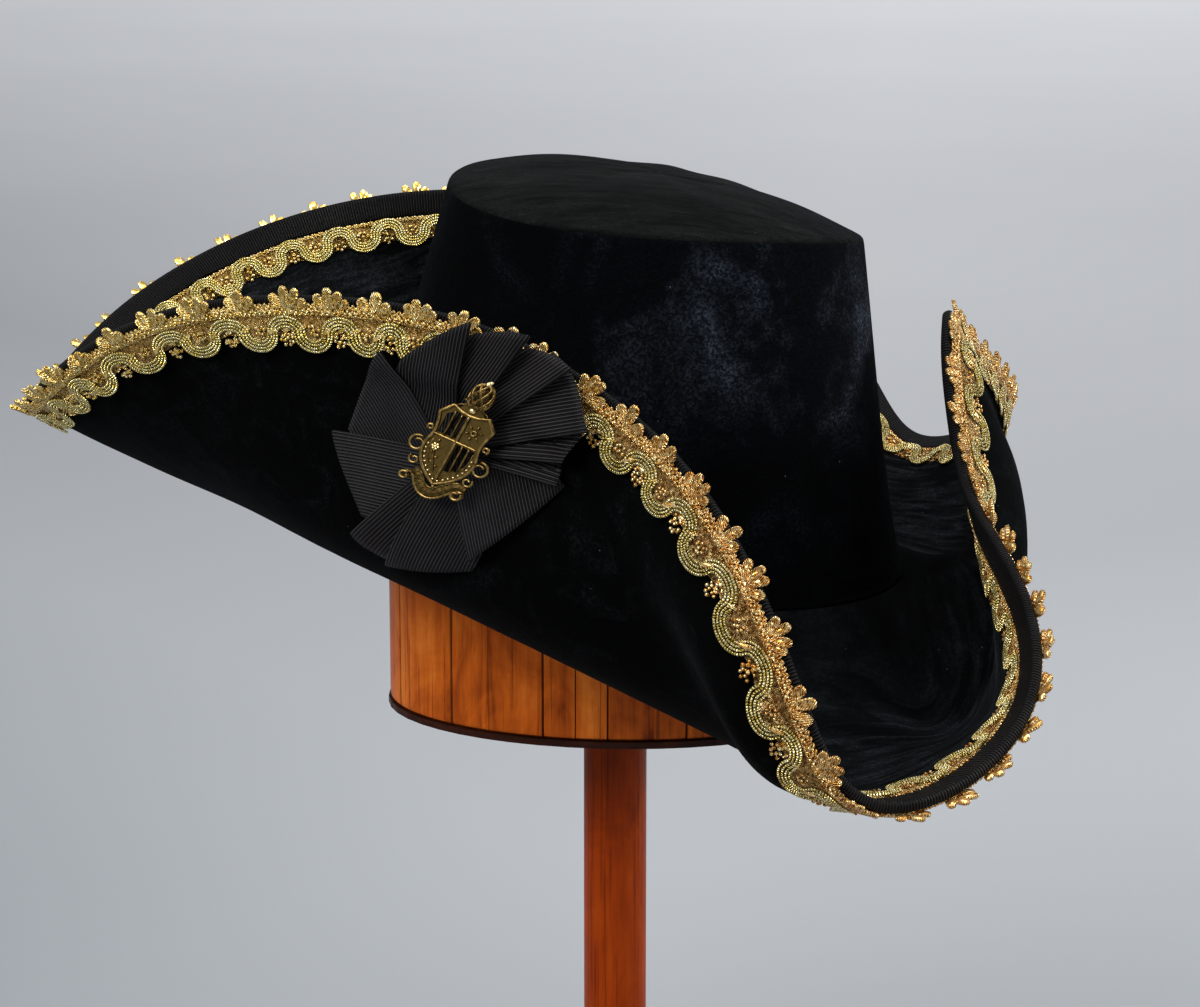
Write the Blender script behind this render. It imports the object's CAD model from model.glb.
# Looks of the tricorn hat and its stand. Metres in the scene; the shape functions work in
# millimetres in the hat's own frame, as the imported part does, and world() turns them.
import math
import bpy
import numpy as np
from mathutils import Vector, Matrix

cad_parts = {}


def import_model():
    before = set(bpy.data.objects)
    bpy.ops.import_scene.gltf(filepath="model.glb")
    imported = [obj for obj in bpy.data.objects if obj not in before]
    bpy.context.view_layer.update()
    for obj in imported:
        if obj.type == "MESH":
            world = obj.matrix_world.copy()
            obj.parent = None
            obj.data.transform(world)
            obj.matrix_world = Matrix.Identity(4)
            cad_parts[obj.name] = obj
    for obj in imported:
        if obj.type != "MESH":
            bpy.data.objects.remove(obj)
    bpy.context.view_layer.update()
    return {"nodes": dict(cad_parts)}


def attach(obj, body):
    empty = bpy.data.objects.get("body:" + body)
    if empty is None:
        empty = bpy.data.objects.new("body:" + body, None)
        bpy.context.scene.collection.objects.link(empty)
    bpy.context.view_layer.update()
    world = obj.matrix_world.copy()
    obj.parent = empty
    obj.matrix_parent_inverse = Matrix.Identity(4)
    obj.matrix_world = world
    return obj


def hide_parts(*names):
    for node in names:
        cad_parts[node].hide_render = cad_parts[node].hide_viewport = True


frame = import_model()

rng = np.random.default_rng(11)
D2R = math.pi / 180

# ------------------------------------------------------------------ sizes, as in the part
CROWN_A, CROWN_B = 105.0, 88.0
TIP_A, TIP_B, TIP_SHIFT = 77.8, 62.7, -3.9
CROWN_H, CROWN_BOW, CROWN_FLARE, FLARE_LEN = 127.9, 0.45, 3.7, 22.0
TIP_DOME, TIP_SLOPE, TIP_LEAN, TIP_TWIST = 12.8, -0.0277, 0.0217, 6.4
BRIM_T = 2.4
HAT_TILT, HAT_LEAN, HAT_Y, HAT_Z = -6.28, 2.92, 5.5, 296.0
BLOCK_A, BLOCK_B, BLOCK_BOTTOM, BLOCK_RIM, BLOCK_TOP, BLOCK_ROUND = 87.4, 63.0, 230.9, 2.4, 329.0, 9.0
COCKADE_T, COCKADE_S, COCKADE_R = 68.7, 110.6, 46.0
BEND = 0.6
# t, width, rise, turn, at, swing
BRIM = np.array([
    [0, 129.9, 5.7, 17.5, 0.45, -0.2],
    [20, 132.6, 8.1, 30.9, 0.43, 0.5],
    [42, 142.7, 9.0, 66.9, 0.38, -4.4],
    [65, 153.2, -2.2, 91.3, 0.34, 6.6],
    [90, 162.0, -24.1, 81.2, 0.40, 16.6],
    [112, 152.5, -24.6, 13.7, 0.47, -2.9],
    [130, 142.7, -26.6, 36.7, 0.53, -6.2],
    [155, 135.5, -32.8, 121.5, 0.45, -17.3],
    [180, 135.3, 2.2, 121.2, 0.31, 1.1],
    [205, 136.8, -18.5, 115.4, 0.40, 14.1],
    [230, 141.9, -26.4, 52.9, 0.53, 9.8],
    [248, 150.0, -20.2, 18.5, 0.45, 0.8],
    [270, 155.4, -14.7, 72.8, 0.41, -15.9],
    [295, 152.2, -4.0, 85.1, 0.39, -4.4],
    [318, 143.3, 4.2, 58.4, 0.40, 1.5],
    [340, 135.0, 6.7, 31.1, 0.43, 1.2],
])
# camera, from the same fit
CAM_AZ, CAM_EL, CAM_F, CAM_D = 95.824, 12.618, 3347.0, 1275.6
CAM_TARGET = (0.0, -11.426 + HAT_Y, 13.049 + HAT_Z)


def turn_matrix():
    c, s = math.cos(HAT_TILT * D2R), math.sin(HAT_TILT * D2R)
    rx = np.array([[1, 0, 0], [0, c, -s], [0, s, c]])
    c, s = math.cos(HAT_LEAN * D2R), math.sin(HAT_LEAN * D2R)
    ry = np.array([[c, 0, s], [0, 1, 0], [-s, 0, c]])
    return rx @ ry


HAT_R = turn_matrix()


def world(p):
    return np.asarray(p) @ HAT_R.T + np.array([0, HAT_Y, HAT_Z])


def unit(v):
    return v / np.maximum(np.linalg.norm(v, axis=-1, keepdims=True), 1e-9)


def smooth(x):
    k = np.clip(x, 0, 1)
    return k * k * (3 - 2 * k)


# ------------------------------------------------------------------ the brim as a surface
def periodic(col):
    x, y = BRIM[:, 0], BRIM[:, col]
    n = len(x)
    h = np.diff(np.append(x, x[0] + 360))
    a = np.zeros((n, n))
    b = np.zeros(n)
    for i in range(n):
        p, q = (i - 1) % n, (i + 1) % n
        a[i, p] += h[p]
        a[i, i] += 2 * (h[p] + h[i])
        a[i, q] += h[i]
        b[i] = 6 * ((y[q] - y[i]) / h[i] - (y[i] - y[p]) / h[p])
    m = np.linalg.solve(a, b)

    def f(t):
        u = np.mod(t - x[0], 360) + x[0]
        i = np.clip(np.searchsorted(x, u, side="right") - 1, 0, n - 1)
        q = (i + 1) % n
        aa, bb = (x[i] + h[i] - u) / h[i], (u - x[i]) / h[i]
        return aa * y[i] + bb * y[q] + ((aa**3 - aa) * m[i] + (bb**3 - bb) * m[q]) * h[i] ** 2 / 6
    return f


ROLL, ROLL_AT, ROLL_FLAT, ROLL_END, ROLL_T, ROLL_SPAN, ROLL_DIR = 15.0, 17.5, 21.0, 66.0, 103.0, 13.5, np.array([0.81, -0.58, 0.05])


def roll_at(t, e):
    """How far the band along the edge rolls outwards beside the left back corner."""
    d = (np.mod(t - ROLL_T + 180, 360) - 180) / ROLL_SPAN
    u = np.clip((e - ROLL_FLAT) / (ROLL_END - ROLL_FLAT), 0, 1)
    bent = (2 * u**3 - 3 * u**2 + 1) * ROLL_FLAT + (u**3 - 2 * u**2 + u) * (ROLL_END - ROLL_FLAT)
    return ROLL * np.exp(-d * d) * np.where(e < ROLL_FLAT, e, bent) / ROLL_AT


w_at, rise_at, turn_at, at_at, swing_at = [periodic(k) for k in range(1, 6)]
NT, NU, UMAX = 1440, 120, 142          # columns round, rows to the edge, rows with the stretch past it


def brim_table():
    t = np.arange(NT) * 360 / NT
    a = t * D2R
    bx, by = CROWN_B * np.sin(a), -CROWN_A * np.cos(a)
    head = np.arctan2(bx, -by) + swing_at(t) * D2R
    w, rise, turn, at = w_at(t), rise_at(t) * D2R, turn_at(t) * D2R, at_at(t)
    r, z = [np.zeros(NT)], [np.zeros(NT)]
    for i in range(UMAX):
        k = smooth(((i + 0.5) / NU - (at - BEND / 2)) / BEND)
        th = rise + (turn - rise) * k
        r.append(r[-1] + np.cos(th) * w / NU)
        z.append(z[-1] + np.sin(th) * w / NU)
    r, z = np.array(r), np.array(z)
    g = np.stack([bx + r * np.sin(head), by - r * np.cos(head), z], -1)        # rows u, columns t
    e = (1 - np.arange(UMAX + 1) / NU)[:, None] * w[None]
    return g + roll_at(t[None], e)[..., None] * ROLL_DIR


def table_normals(g):
    dt = np.roll(g, -1, axis=1) - np.roll(g, 1, axis=1)
    du = np.gradient(g, axis=0)
    return unit(np.cross(du, dt))


BG = brim_table()
# soft dents that a steamed, hand-turned brim keeps, fading out at the crown and the edge
_t = np.arange(NT) * 2 * np.pi / NT
_u = (np.arange(UMAX + 1) / NU)[:, None]
_dent = (0.9 * np.sin(11 * _t + 0.6 + 2.2 * _u) * np.exp(-((_u - 0.62) / 0.2) ** 2)
         + 0.7 * np.sin(17 * _t + 4.1 - 3.0 * _u) * np.exp(-((_u - 0.8) / 0.16) ** 2)
         + 0.6 * np.sin(7 * _t + 2.4 + 6 * _u) * np.exp(-((_u - 0.45) / 0.2) ** 2))
BG = BG + table_normals(BG) * _dent[..., None]
BN = table_normals(BG)


def pick(table, u, t):
    """Bilinear reading of a table at row u (share of the width) and column t (degrees)."""
    fu = np.clip(np.asarray(u) * NU, 0, UMAX - 1e-6)
    ft = np.mod(np.asarray(t), 360) * NT / 360
    i, j = fu.astype(int), ft.astype(int)
    a, b = (fu - i)[..., None], (ft - j)[..., None]
    j, j2 = j % NT, (j + 1) % NT
    return (table[i, j] * (1 - a) * (1 - b) + table[i + 1, j] * a * (1 - b)
            + table[i, j2] * (1 - a) * b + table[i + 1, j2] * a * b)


def on_brim(u, t, off=0.0):
    n = unit(pick(BN, u, t))
    return pick(BG, u, t) + n * np.asarray(off)[..., None] if np.ndim(off) else pick(BG, u, t) + n * off


# ------------------------------------------------------------------ the band along the edge
# l runs along the edge, e in from it, square to it in the cloth: the trims are laid in (l, e)
NL = 1500
E_LO, E_HI, E_STEP = -8.0, 27.0, 0.5


def edge_band():
    fine = on_brim(np.ones(2881), np.linspace(0, 360, 2881))
    acc = np.concatenate([[0], np.cumsum(np.linalg.norm(np.diff(fine, axis=0), axis=1))])
    length = acc[-1]
    t0 = np.interp(np.arange(NL) * length / NL, acc, np.linspace(0, 360, 2881))
    ne = int(round((E_HI - E_LO) / E_STEP)) + 1
    zero = int(round(-E_LO / E_STEP))
    pts = np.zeros((ne, NL, 3))
    nrm = np.zeros((ne, NL, 3))

    def frame_of(u, t):
        du = (pick(BG, u + 0.004, t) - pick(BG, u - 0.004, t)) / 0.008
        dt = (pick(BG, u, t + 0.25) - pick(BG, u, t - 0.25)) / 0.5
        return du, dt, unit(np.cross(du, dt))

    for sign in (1, -1):
        u, t = np.ones(NL), t0.copy()
        du, dt, n = frame_of(u, t)
        along = unit(np.roll(pick(BG, u, t), -1, 0) - np.roll(pick(BG, u, t), 1, 0))
        d = unit(np.cross(along, n))
        d *= np.sign(-(d * du).sum(-1, keepdims=True)) * sign
        k = zero
        while 0 <= k < ne:
            pts[k], nrm[k] = pick(BG, u, t), n
            a11, a12, a22 = (du * du).sum(-1), (du * dt).sum(-1), (dt * dt).sum(-1)
            r1, r2 = (du * d).sum(-1) * E_STEP, (dt * d).sum(-1) * E_STEP
            det = a11 * a22 - a12 * a12
            u = u + (r1 * a22 - r2 * a12) / det
            t = t + (r2 * a11 - r1 * a12) / det
            du, dt, n = frame_of(u, t)
            d = unit(d - n * (d * n).sum(-1, keepdims=True))
            k += sign
    return length, pts, unit(nrm)


EDGE_L, EP, EN = edge_band()


def band(l, e, off):
    """Point and outward normal at length l, distance e in from the edge, height off over the cloth's middle."""
    l, e, off = np.broadcast_arrays(np.asarray(l, float), np.asarray(e, float), np.asarray(off, float))
    fl = np.mod(l, EDGE_L) * NL / EDGE_L
    fe = np.clip((e - E_LO) / E_STEP, 0, EP.shape[0] - 1.001)
    i, j = fe.astype(int), fl.astype(int)
    a, b = (fe - i)[..., None], (fl - j)[..., None]
    j, j2 = j % NL, (j + 1) % NL

    def mix(tb):
        return (tb[i, j] * (1 - a) * (1 - b) + tb[i + 1, j] * a * (1 - b) + tb[i, j2] * (1 - a) * b + tb[i + 1, j2] * a * b)
    n = unit(mix(EN))
    return mix(EP) + n * off[..., None], n


# ------------------------------------------------------------------ mesh helpers
def make(name, verts, quads, mat, tris=None, uv4=None, uv3=None, smooth_faces=True, hat=True):
    """One mesh object from arrays; verts in mm, uv per face corner."""
    v = (world(verts) if hat else np.asarray(verts, float)) * 0.001
    q = np.asarray(quads, np.int32).reshape(-1, 4)
    t = np.zeros((0, 3), np.int32) if tris is None else np.asarray(tris, np.int32).reshape(-1, 3)
    loops = np.concatenate([q.ravel(), t.ravel()])
    starts = np.concatenate([np.arange(len(q)) * 4, len(q) * 4 + np.arange(len(t)) * 3])
    me = bpy.data.meshes.new(name)
    me.vertices.add(len(v))
    me.vertices.foreach_set("co", v.astype(np.float32).ravel())
    me.loops.add(len(loops))
    me.loops.foreach_set("vertex_index", loops)
    me.polygons.add(len(starts))
    me.polygons.foreach_set("loop_start", starts.astype(np.int32))
    me.polygons.foreach_set("use_smooth", np.full(len(starts), smooth_faces))
    if uv4 is not None:
        uv = np.asarray(uv4, float).reshape(-1, 2)
        if len(t):
            uv = np.concatenate([uv, np.zeros((3 * len(t), 2)) if uv3 is None else np.asarray(uv3, float).reshape(-1, 2)])
        me.uv_layers.new(name="UVMap").data.foreach_set("uv", uv.astype(np.float32).ravel())
    me.update(calc_edges=True)
    me.validate()
    ob = bpy.data.objects.new(name, me)
    bpy.context.scene.collection.objects.link(ob)
    me.materials.append(mat)
    return ob


def put(ob, slot, *nodes):
    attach(ob, "root")
    if nodes:
        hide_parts(*nodes)
    return ob


def grid_quads(rows, cols, wrap_rows=False, wrap_cols=False, flip=False):
    r = np.arange(rows if wrap_rows else rows - 1)
    c = np.arange(cols if wrap_cols else cols - 1)
    i, j = np.meshgrid(r, c, indexing="ij")
    i2, j2 = (i + 1) % rows, (j + 1) % cols
    q = np.stack([i * cols + j, i * cols + j2, i2 * cols + j2, i2 * cols + j], -1).reshape(-1, 4)
    return q[:, ::-1] if flip else q


def grid_uv(us, vs, wrap_rows=False, wrap_cols=False, flip=False):
    """Corner uvs for grid_quads: us along the columns, vs along the rows, one longer where it wraps."""
    i, j = np.meshgrid(np.arange(len(vs) - 1), np.arange(len(us) - 1), indexing="ij")
    uv = np.stack([np.stack([us[j], vs[i]], -1), np.stack([us[j + 1], vs[i]], -1), np.stack([us[j + 1], vs[i + 1]], -1), np.stack([us[j], vs[i + 1]], -1)], -2)
    uv = uv.reshape(-1, 4, 2)
    return uv[:, ::-1] if flip else uv


class Heap:
    """Collects many small closed shapes into one mesh."""
    def __init__(self):
        self.v, self.q, self.t, self.u4, self.u3, self.n = [], [], [], [], [], 0

    def add(self, v, q=None, t=None, uv4=None, uv3=None):
        v = np.asarray(v).reshape(-1, 3)
        if q is not None and len(q):
            self.q.append(np.asarray(q) + self.n)
            self.u4.append(np.zeros((len(q), 4, 2)) if uv4 is None else uv4)
        if t is not None and len(t):
            self.t.append(np.asarray(t) + self.n)
            self.u3.append(np.zeros((len(t), 3, 2)) if uv3 is None else uv3)
        self.v.append(v)
        self.n += len(v)

    def tube(self, path, side, up, radius, k=6, closed=False, twist=0.0, u0=0.0, squash=1.0):
        """A round cord along path; side and up are unit vectors square to it. radius may vary."""
        n = len(path)
        rad = np.broadcast_to(np.asarray(radius, float), (n,))
        a = np.arange(k) * 2 * np.pi / k
        ring = path[:, None] + rad[:, None, None] * (np.cos(a)[None, :, None] * side[:, None] + squash * np.sin(a)[None, :, None] * up[:, None])
        seg = np.linalg.norm(np.diff(path, axis=0, append=path[:1] if closed else path[-1:]), axis=1)
        us = np.concatenate([[0], np.cumsum(seg)])[: n + 1 if closed else n] + u0
        vs = np.linspace(0, 1, k + 1)
        q = grid_quads(n, k, wrap_rows=closed, wrap_cols=True)
        i, j = np.meshgrid(np.arange(n if closed else n - 1), np.arange(k), indexing="ij")
        uv = np.stack([np.stack([us[i], vs[j]], -1), np.stack([us[i], vs[j + 1]], -1), np.stack([us[i + 1], vs[j + 1]], -1), np.stack([us[i + 1], vs[j]], -1)], -2).reshape(-1, 4, 2)
        v = ring.reshape(-1, 3)
        if closed:
            self.add(v, q, uv4=uv)
            return
        v = np.concatenate([v, path[:1], path[-1:]])
        a0, a1 = n * k, n * k + 1
        t = [[a0, (j + 1) % k, j] for j in range(k)] + [[a1, (n - 1) * k + j, (n - 1) * k + (j + 1) % k] for j in range(k)]
        self.add(v, q, t, uv4=uv)

    def build(self, name, mat, hat=True, smooth_faces=True):
        v = np.concatenate(self.v)
        q = np.concatenate(self.q) if self.q else np.zeros((0, 4), int)
        t = np.concatenate(self.t) if self.t else None
        return make(name, v, q, mat, tris=t, uv4=np.concatenate(self.u4) if self.u4 else None, uv3=np.concatenate(self.u3) if self.u3 else None, hat=hat, smooth_faces=smooth_faces)


def outward(v, q, t=None):
    """Signed volume, to see which way the faces of a closed shape look."""
    s = 0.0
    for f in (q[:, [0, 1, 2]], q[:, [0, 2, 3]]) + ((t,) if t is not None else ()):
        s += np.einsum("ij,ij->", v[f[:, 0]], np.cross(v[f[:, 1]], v[f[:, 2]]))
    return s


# ------------------------------------------------------------------ materials
class Nodes:
    def __init__(self, name):
        self.mat = bpy.data.materials.new(name)
        self.mat.use_nodes = True
        self.nt = self.mat.node_tree
        self.bsdf = self.nt.nodes["Principled BSDF"]

    def node(self, kind, props=None, **ins):
        n = self.nt.nodes.new(kind)
        for k, v in (props or {}).items():
            setattr(n, k, v)
        for k, v in ins.items():
            self.plug(v, n.inputs[int(k[1:])] if k[0] == "i" and k[1:].isdigit() else n.inputs[k.replace("_", " ")])
        return n

    def plug(self, v, socket):
        if isinstance(v, bpy.types.NodeSocket):
            self.nt.links.new(v, socket)
        elif isinstance(v, bpy.types.Node):
            self.nt.links.new(v.outputs[0], socket)
        else:
            socket.default_value = v

    def set(self, **ins):
        for k, v in ins.items():
            self.plug(v, self.bsdf.inputs[k.replace("_", " ")])

    def coords(self, scale=(1, 1, 1), uv=False, rotate=(0, 0, 0)):
        tc = self.node("ShaderNodeTexCoord")
        m = self.node("ShaderNodeMapping", Vector=tc.outputs["UV" if uv else "Object"])
        m.inputs["Scale"].default_value = scale
        m.inputs["Rotation"].default_value = rotate
        return m.outputs[0]

    def noise(self, vec, scale, detail=2.0, rough=0.5, distort=0.0):
        n = self.node("ShaderNodeTexNoise", Vector=vec, Scale=scale, Detail=detail, Roughness=rough, Distortion=distort)
        return n.outputs["Fac"]

    def voronoi(self, vec, scale, feature="F1", out="Distance", random=1.0):
        n = self.node("ShaderNodeTexVoronoi", {"feature": feature}, Vector=vec, Scale=scale, Randomness=random)
        return n.outputs[out]

    def ramp(self, fac, stops, smooth_steps=False):
        n = self.node("ShaderNodeValToRGB", Fac=fac)
        cr = n.color_ramp
        cr.interpolation = "EASE" if smooth_steps else "LINEAR"
        while len(cr.elements) < len(stops):
            cr.elements.new(0.5)
        for el, (p, c) in zip(cr.elements, stops):
            el.position = p
            el.color = (*c, 1) if len(c) == 3 else c
        return n.outputs[0]

    def math(self, op, a, b=0.0, c=0.0):
        n = self.node("ShaderNodeMath", {"operation": op}, i0=a, i1=b, i2=c)
        return n.outputs[0]

    def mix(self, fac, a, b, blend="MIX"):
        n = self.node("ShaderNodeMixRGB", {"blend_type": blend}, Fac=fac, Color1=a, Color2=b)
        return n.outputs[0]

    def bump(self, height, strength, distance, normal=None):
        n = self.node("ShaderNodeBump", Strength=strength, Distance=distance, Height=height)
        if normal is not None:
            self.plug(normal, n.inputs["Normal"])
        return n.outputs[0]


def rgb(r, g, b):
    return (r, g, b, 1.0)


def velvet_material(name, kind):
    """Black crushed velvet. kind: wall, tip, upper or lower face of the brim."""
    m = Nodes(name)
    c = m.coords()
    sep = m.node("ShaderNodeSeparateXYZ", Vector=c)
    x, y, z = sep.outputs
    pile = m.noise(c, 1700.0, 2.0, 0.6)
    spark = m.voronoi(c, 1150.0, out="Color")
    spark = m.node("ShaderNodeSeparateColor", Color=spark).outputs[0]
    grain = m.ramp(m.math("MULTIPLY_ADD", pile, 0.6, m.math("MULTIPLY", spark, 0.5)), [(0.42, (0.12, 0.12, 0.12)), (0.62, (0.5, 0.5, 0.5)), (0.78, (1, 1, 1))])
    if kind == "wall":
        big = m.noise(c, 34.0, 2.0, 0.5, 0.4)
        mid = m.noise(c, 130.0, 3.0, 0.55, 0.6)
        lie = m.math("ADD", m.math("MULTIPLY", big, 0.72), m.math("MULTIPLY", mid, 0.28))
        patch = m.ramp(lie, [(0.48, (0.03, 0.03, 0.03)), (0.57, (0.26, 0.26, 0.26)), (0.72, (1, 1, 1))])
        where = m.math("MULTIPLY", m.math("SMOOTH_MIN", m.math("MAXIMUM", m.math("MULTIPLY_ADD", y, 13.0, 0.42), 0.12), 1.0, 0.2),
                       m.math("SMOOTH_MIN", m.math("MAXIMUM", m.math("MULTIPLY_ADD", z, 18.0, -5.9), 0.1), 1.0, 0.2))
        glow = m.math("MULTIPLY", m.math("MULTIPLY", patch, where), grain)
        base = m.mix(m.math("MULTIPLY", where, m.math("MULTIPLY_ADD", big, 1.6, -0.3)), rgb(0.0007, 0.0008, 0.0010), rgb(0.0020, 0.0030, 0.0049))
        lit = rgb(0.056, 0.069, 0.094)
    elif kind == "tip":
        cs = m.coords(scale=(1.0, 0.16, 1.0))
        mid = m.noise(cs, 210.0, 4.0, 0.65, 0.3)
        big = m.noise(m.coords(scale=(1.0, 0.4, 1.0)), 40.0, 3.0, 0.55)
        patch = m.ramp(m.math("ADD", m.math("MULTIPLY", mid, 0.6), m.math("MULTIPLY", big, 0.4)), [(0.4, (0.08, 0.08, 0.08)), (0.55, (0.5, 0.5, 0.5)), (0.68, (1, 1, 1))])
        glow = m.math("MULTIPLY", patch, m.math("MULTIPLY_ADD", grain, 0.5, 0.35))
        base = rgb(0.0016, 0.0017, 0.0017)
        lit = rgb(0.016, 0.0165, 0.0155)
    elif kind == "upper":
        r = m.math("SQRT", m.math("ADD", m.math("MULTIPLY", x, x), m.math("MULTIPLY", y, y)))
        flow = m.node("ShaderNodeCombineXYZ", X=m.math("MULTIPLY_ADD", z, 0.9, r), Y=m.math("MULTIPLY", x, 0.16), Z=m.math("MULTIPLY", y, 0.16)).outputs[0]
        mid = m.noise(flow, 230.0, 4.0, 0.62, 0.5)
        big = m.noise(c, 24.0, 3.0, 0.55, 0.6)
        patch = m.ramp(m.math("ADD", m.math("MULTIPLY", mid, 0.62), m.math("MULTIPLY", big, 0.38)), [(0.42, (0.03, 0.03, 0.03)), (0.54, (0.3, 0.3, 0.3)), (0.68, (1, 1, 1))])
        out = m.math("SMOOTH_MIN", m.math("MAXIMUM", m.math("MULTIPLY_ADD", r, 14.0, -1.5), 0.16), 1.0, 0.2)
        glow = m.math("MULTIPLY", m.math("MULTIPLY", patch, out), m.math("MULTIPLY_ADD", grain, 0.7, 0.3))
        base = rgb(0.0010, 0.0011, 0.0012)
        lit = rgb(0.038, 0.043, 0.050)
    else:
        mid = m.noise(c, 70.0, 4.0, 0.6, 0.8)
        patch = m.ramp(mid, [(0.5, (0, 0, 0)), (0.75, (1, 1, 1))])
        glow = m.math("MULTIPLY", patch, m.math("MULTIPLY", grain, 0.35))
        base = rgb(0.0007, 0.0008, 0.0009)
        lit = rgb(0.016, 0.018, 0.021)
    col = m.mix(glow, base, lit)
    speck = m.voronoi(c, 150.0, out="Distance")
    fleck = m.ramp(speck, [(0.0, (1, 1, 1)), (0.03, (1, 1, 1)), (0.045, (0, 0, 0))])
    few = m.ramp(m.noise(c, 33.0, 1.0, 0.5), [(0.52, (0, 0, 0)), (0.6, (1, 1, 1))])
    col = m.mix(m.math("MULTIPLY", m.math("MULTIPLY", fleck, few), 0.5), col, rgb(0.20, 0.22, 0.25))
    m.set(Base_Color=col, Roughness=0.95)
    m.set(Normal=m.bump(pile, 0.6, 0.0007, m.bump(mid, 0.35, 0.0025)))
    m.bsdf.inputs["Specular IOR Level"].default_value = 0.03
    m.bsdf.inputs["Sheen Weight"].default_value = 0.022 if kind == "tip" else 0.012
    m.bsdf.inputs["Sheen Roughness"].default_value = 0.3
    m.bsdf.inputs["Sheen Tint"].default_value = rgb(0.75, 0.83, 0.95)
    return m.mat


def ribbon_material(name, pitch, strength=1.0, across=False, tone=1.0):
    """Grosgrain: round ribs a pitch apart along u (mm), with fine threads over them."""
    m = Nodes(name)
    uv = m.node("ShaderNodeTexCoord").outputs["UV"]
    sep = m.node("ShaderNodeSeparateXYZ", Vector=uv)
    rib = m.math("SINE", m.math("MULTIPLY", sep.outputs[1 if across else 0], 2 * math.pi / pitch))
    rib01 = m.math("MULTIPLY_ADD", rib, 0.5, 0.5)
    fine = m.noise(m.coords(), 2600.0, 2.0, 0.6)
    soft = m.noise(m.coords(), 60.0, 3.0, 0.5)
    crown = m.math("POWER", rib01, 2.8)
    shade = m.math("MULTIPLY_ADD", soft, 0.35, m.math("MULTIPLY", crown, 0.65))
    m.set(Base_Color=m.ramp(shade, [(0.12, (0.0008 * tone, 0.0008 * tone, 0.0009 * tone)), (0.40, (0.0048 * tone, 0.0043 * tone, 0.0048 * tone)), (0.92, (0.050 * tone, 0.045 * tone, 0.048 * tone))]),
          Roughness=m.math("MULTIPLY_ADD", fine, 0.2, 0.4))
    b = m.bump(rib01, 1.0 * strength, 0.0006)
    b = m.bump(fine, 0.3, 0.0003, b)
    m.set(Normal=b)
    m.bsdf.inputs["Specular IOR Level"].default_value = 0.16 * tone
    m.bsdf.inputs["Sheen Weight"].default_value = 0.016 * tone
    m.bsdf.inputs["Sheen Roughness"].default_value = 0.35
    m.bsdf.inputs["Sheen Tint"].default_value = rgb(0.9, 0.9, 1.0)
    return m.mat


def thread_material(name, dark, mid, light, pitch=0.9, twist=1.0, cell=900.0, metal=0.85, rough=0.3, left=None):
    """Metallic thread: twisted strands along u with a random glint in each small cell."""
    m = Nodes(name)
    uv = m.node("ShaderNodeTexCoord").outputs["UV"]
    sep = m.node("ShaderNodeSeparateXYZ", Vector=uv)
    ph = m.math("ADD", m.math("MULTIPLY", sep.outputs[0], 2 * math.pi / pitch), m.math("MULTIPLY", sep.outputs[1], 2 * math.pi * twist))
    strand = m.math("MULTIPLY_ADD", m.math("SINE", ph), 0.5, 0.5)
    c = m.coords()
    cellv = m.voronoi(c, cell, out="Color")
    glint = m.node("ShaderNodeSeparateColor", Color=cellv).outputs[0]
    wide = m.noise(c, 70.0, 2.0, 0.5)
    mixv = m.math("ADD", m.math("MULTIPLY", glint, 0.5), m.math("ADD", m.math("MULTIPLY", strand, 0.34), m.math("MULTIPLY", wide, 0.22)))
    col = m.ramp(mixv, [(0.2, dark), (0.47, mid), (0.77, light)])
    if left is not None:                       # the thread is yellower towards the left side
        y = m.node("ShaderNodeSeparateXYZ", Vector=c).outputs[1]
        far = m.ramp(m.math("MULTIPLY_ADD", y, -4.0, 0.5), [(0.3, (0, 0, 0)), (0.9, (1, 1, 1))])
        col = m.mix(far, col, m.ramp(mixv, [(0.18, dark), (0.42, left), (0.72, light)]))
    m.set(Base_Color=col, Metallic=metal, Roughness=m.math("MULTIPLY_ADD", glint, -0.2, rough + 0.12))
    b = m.bump(strand, 0.9, 0.0006)
    b = m.bump(glint, 0.85, 0.0004, b)
    m.set(Normal=b)
    return m.mat


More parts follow.
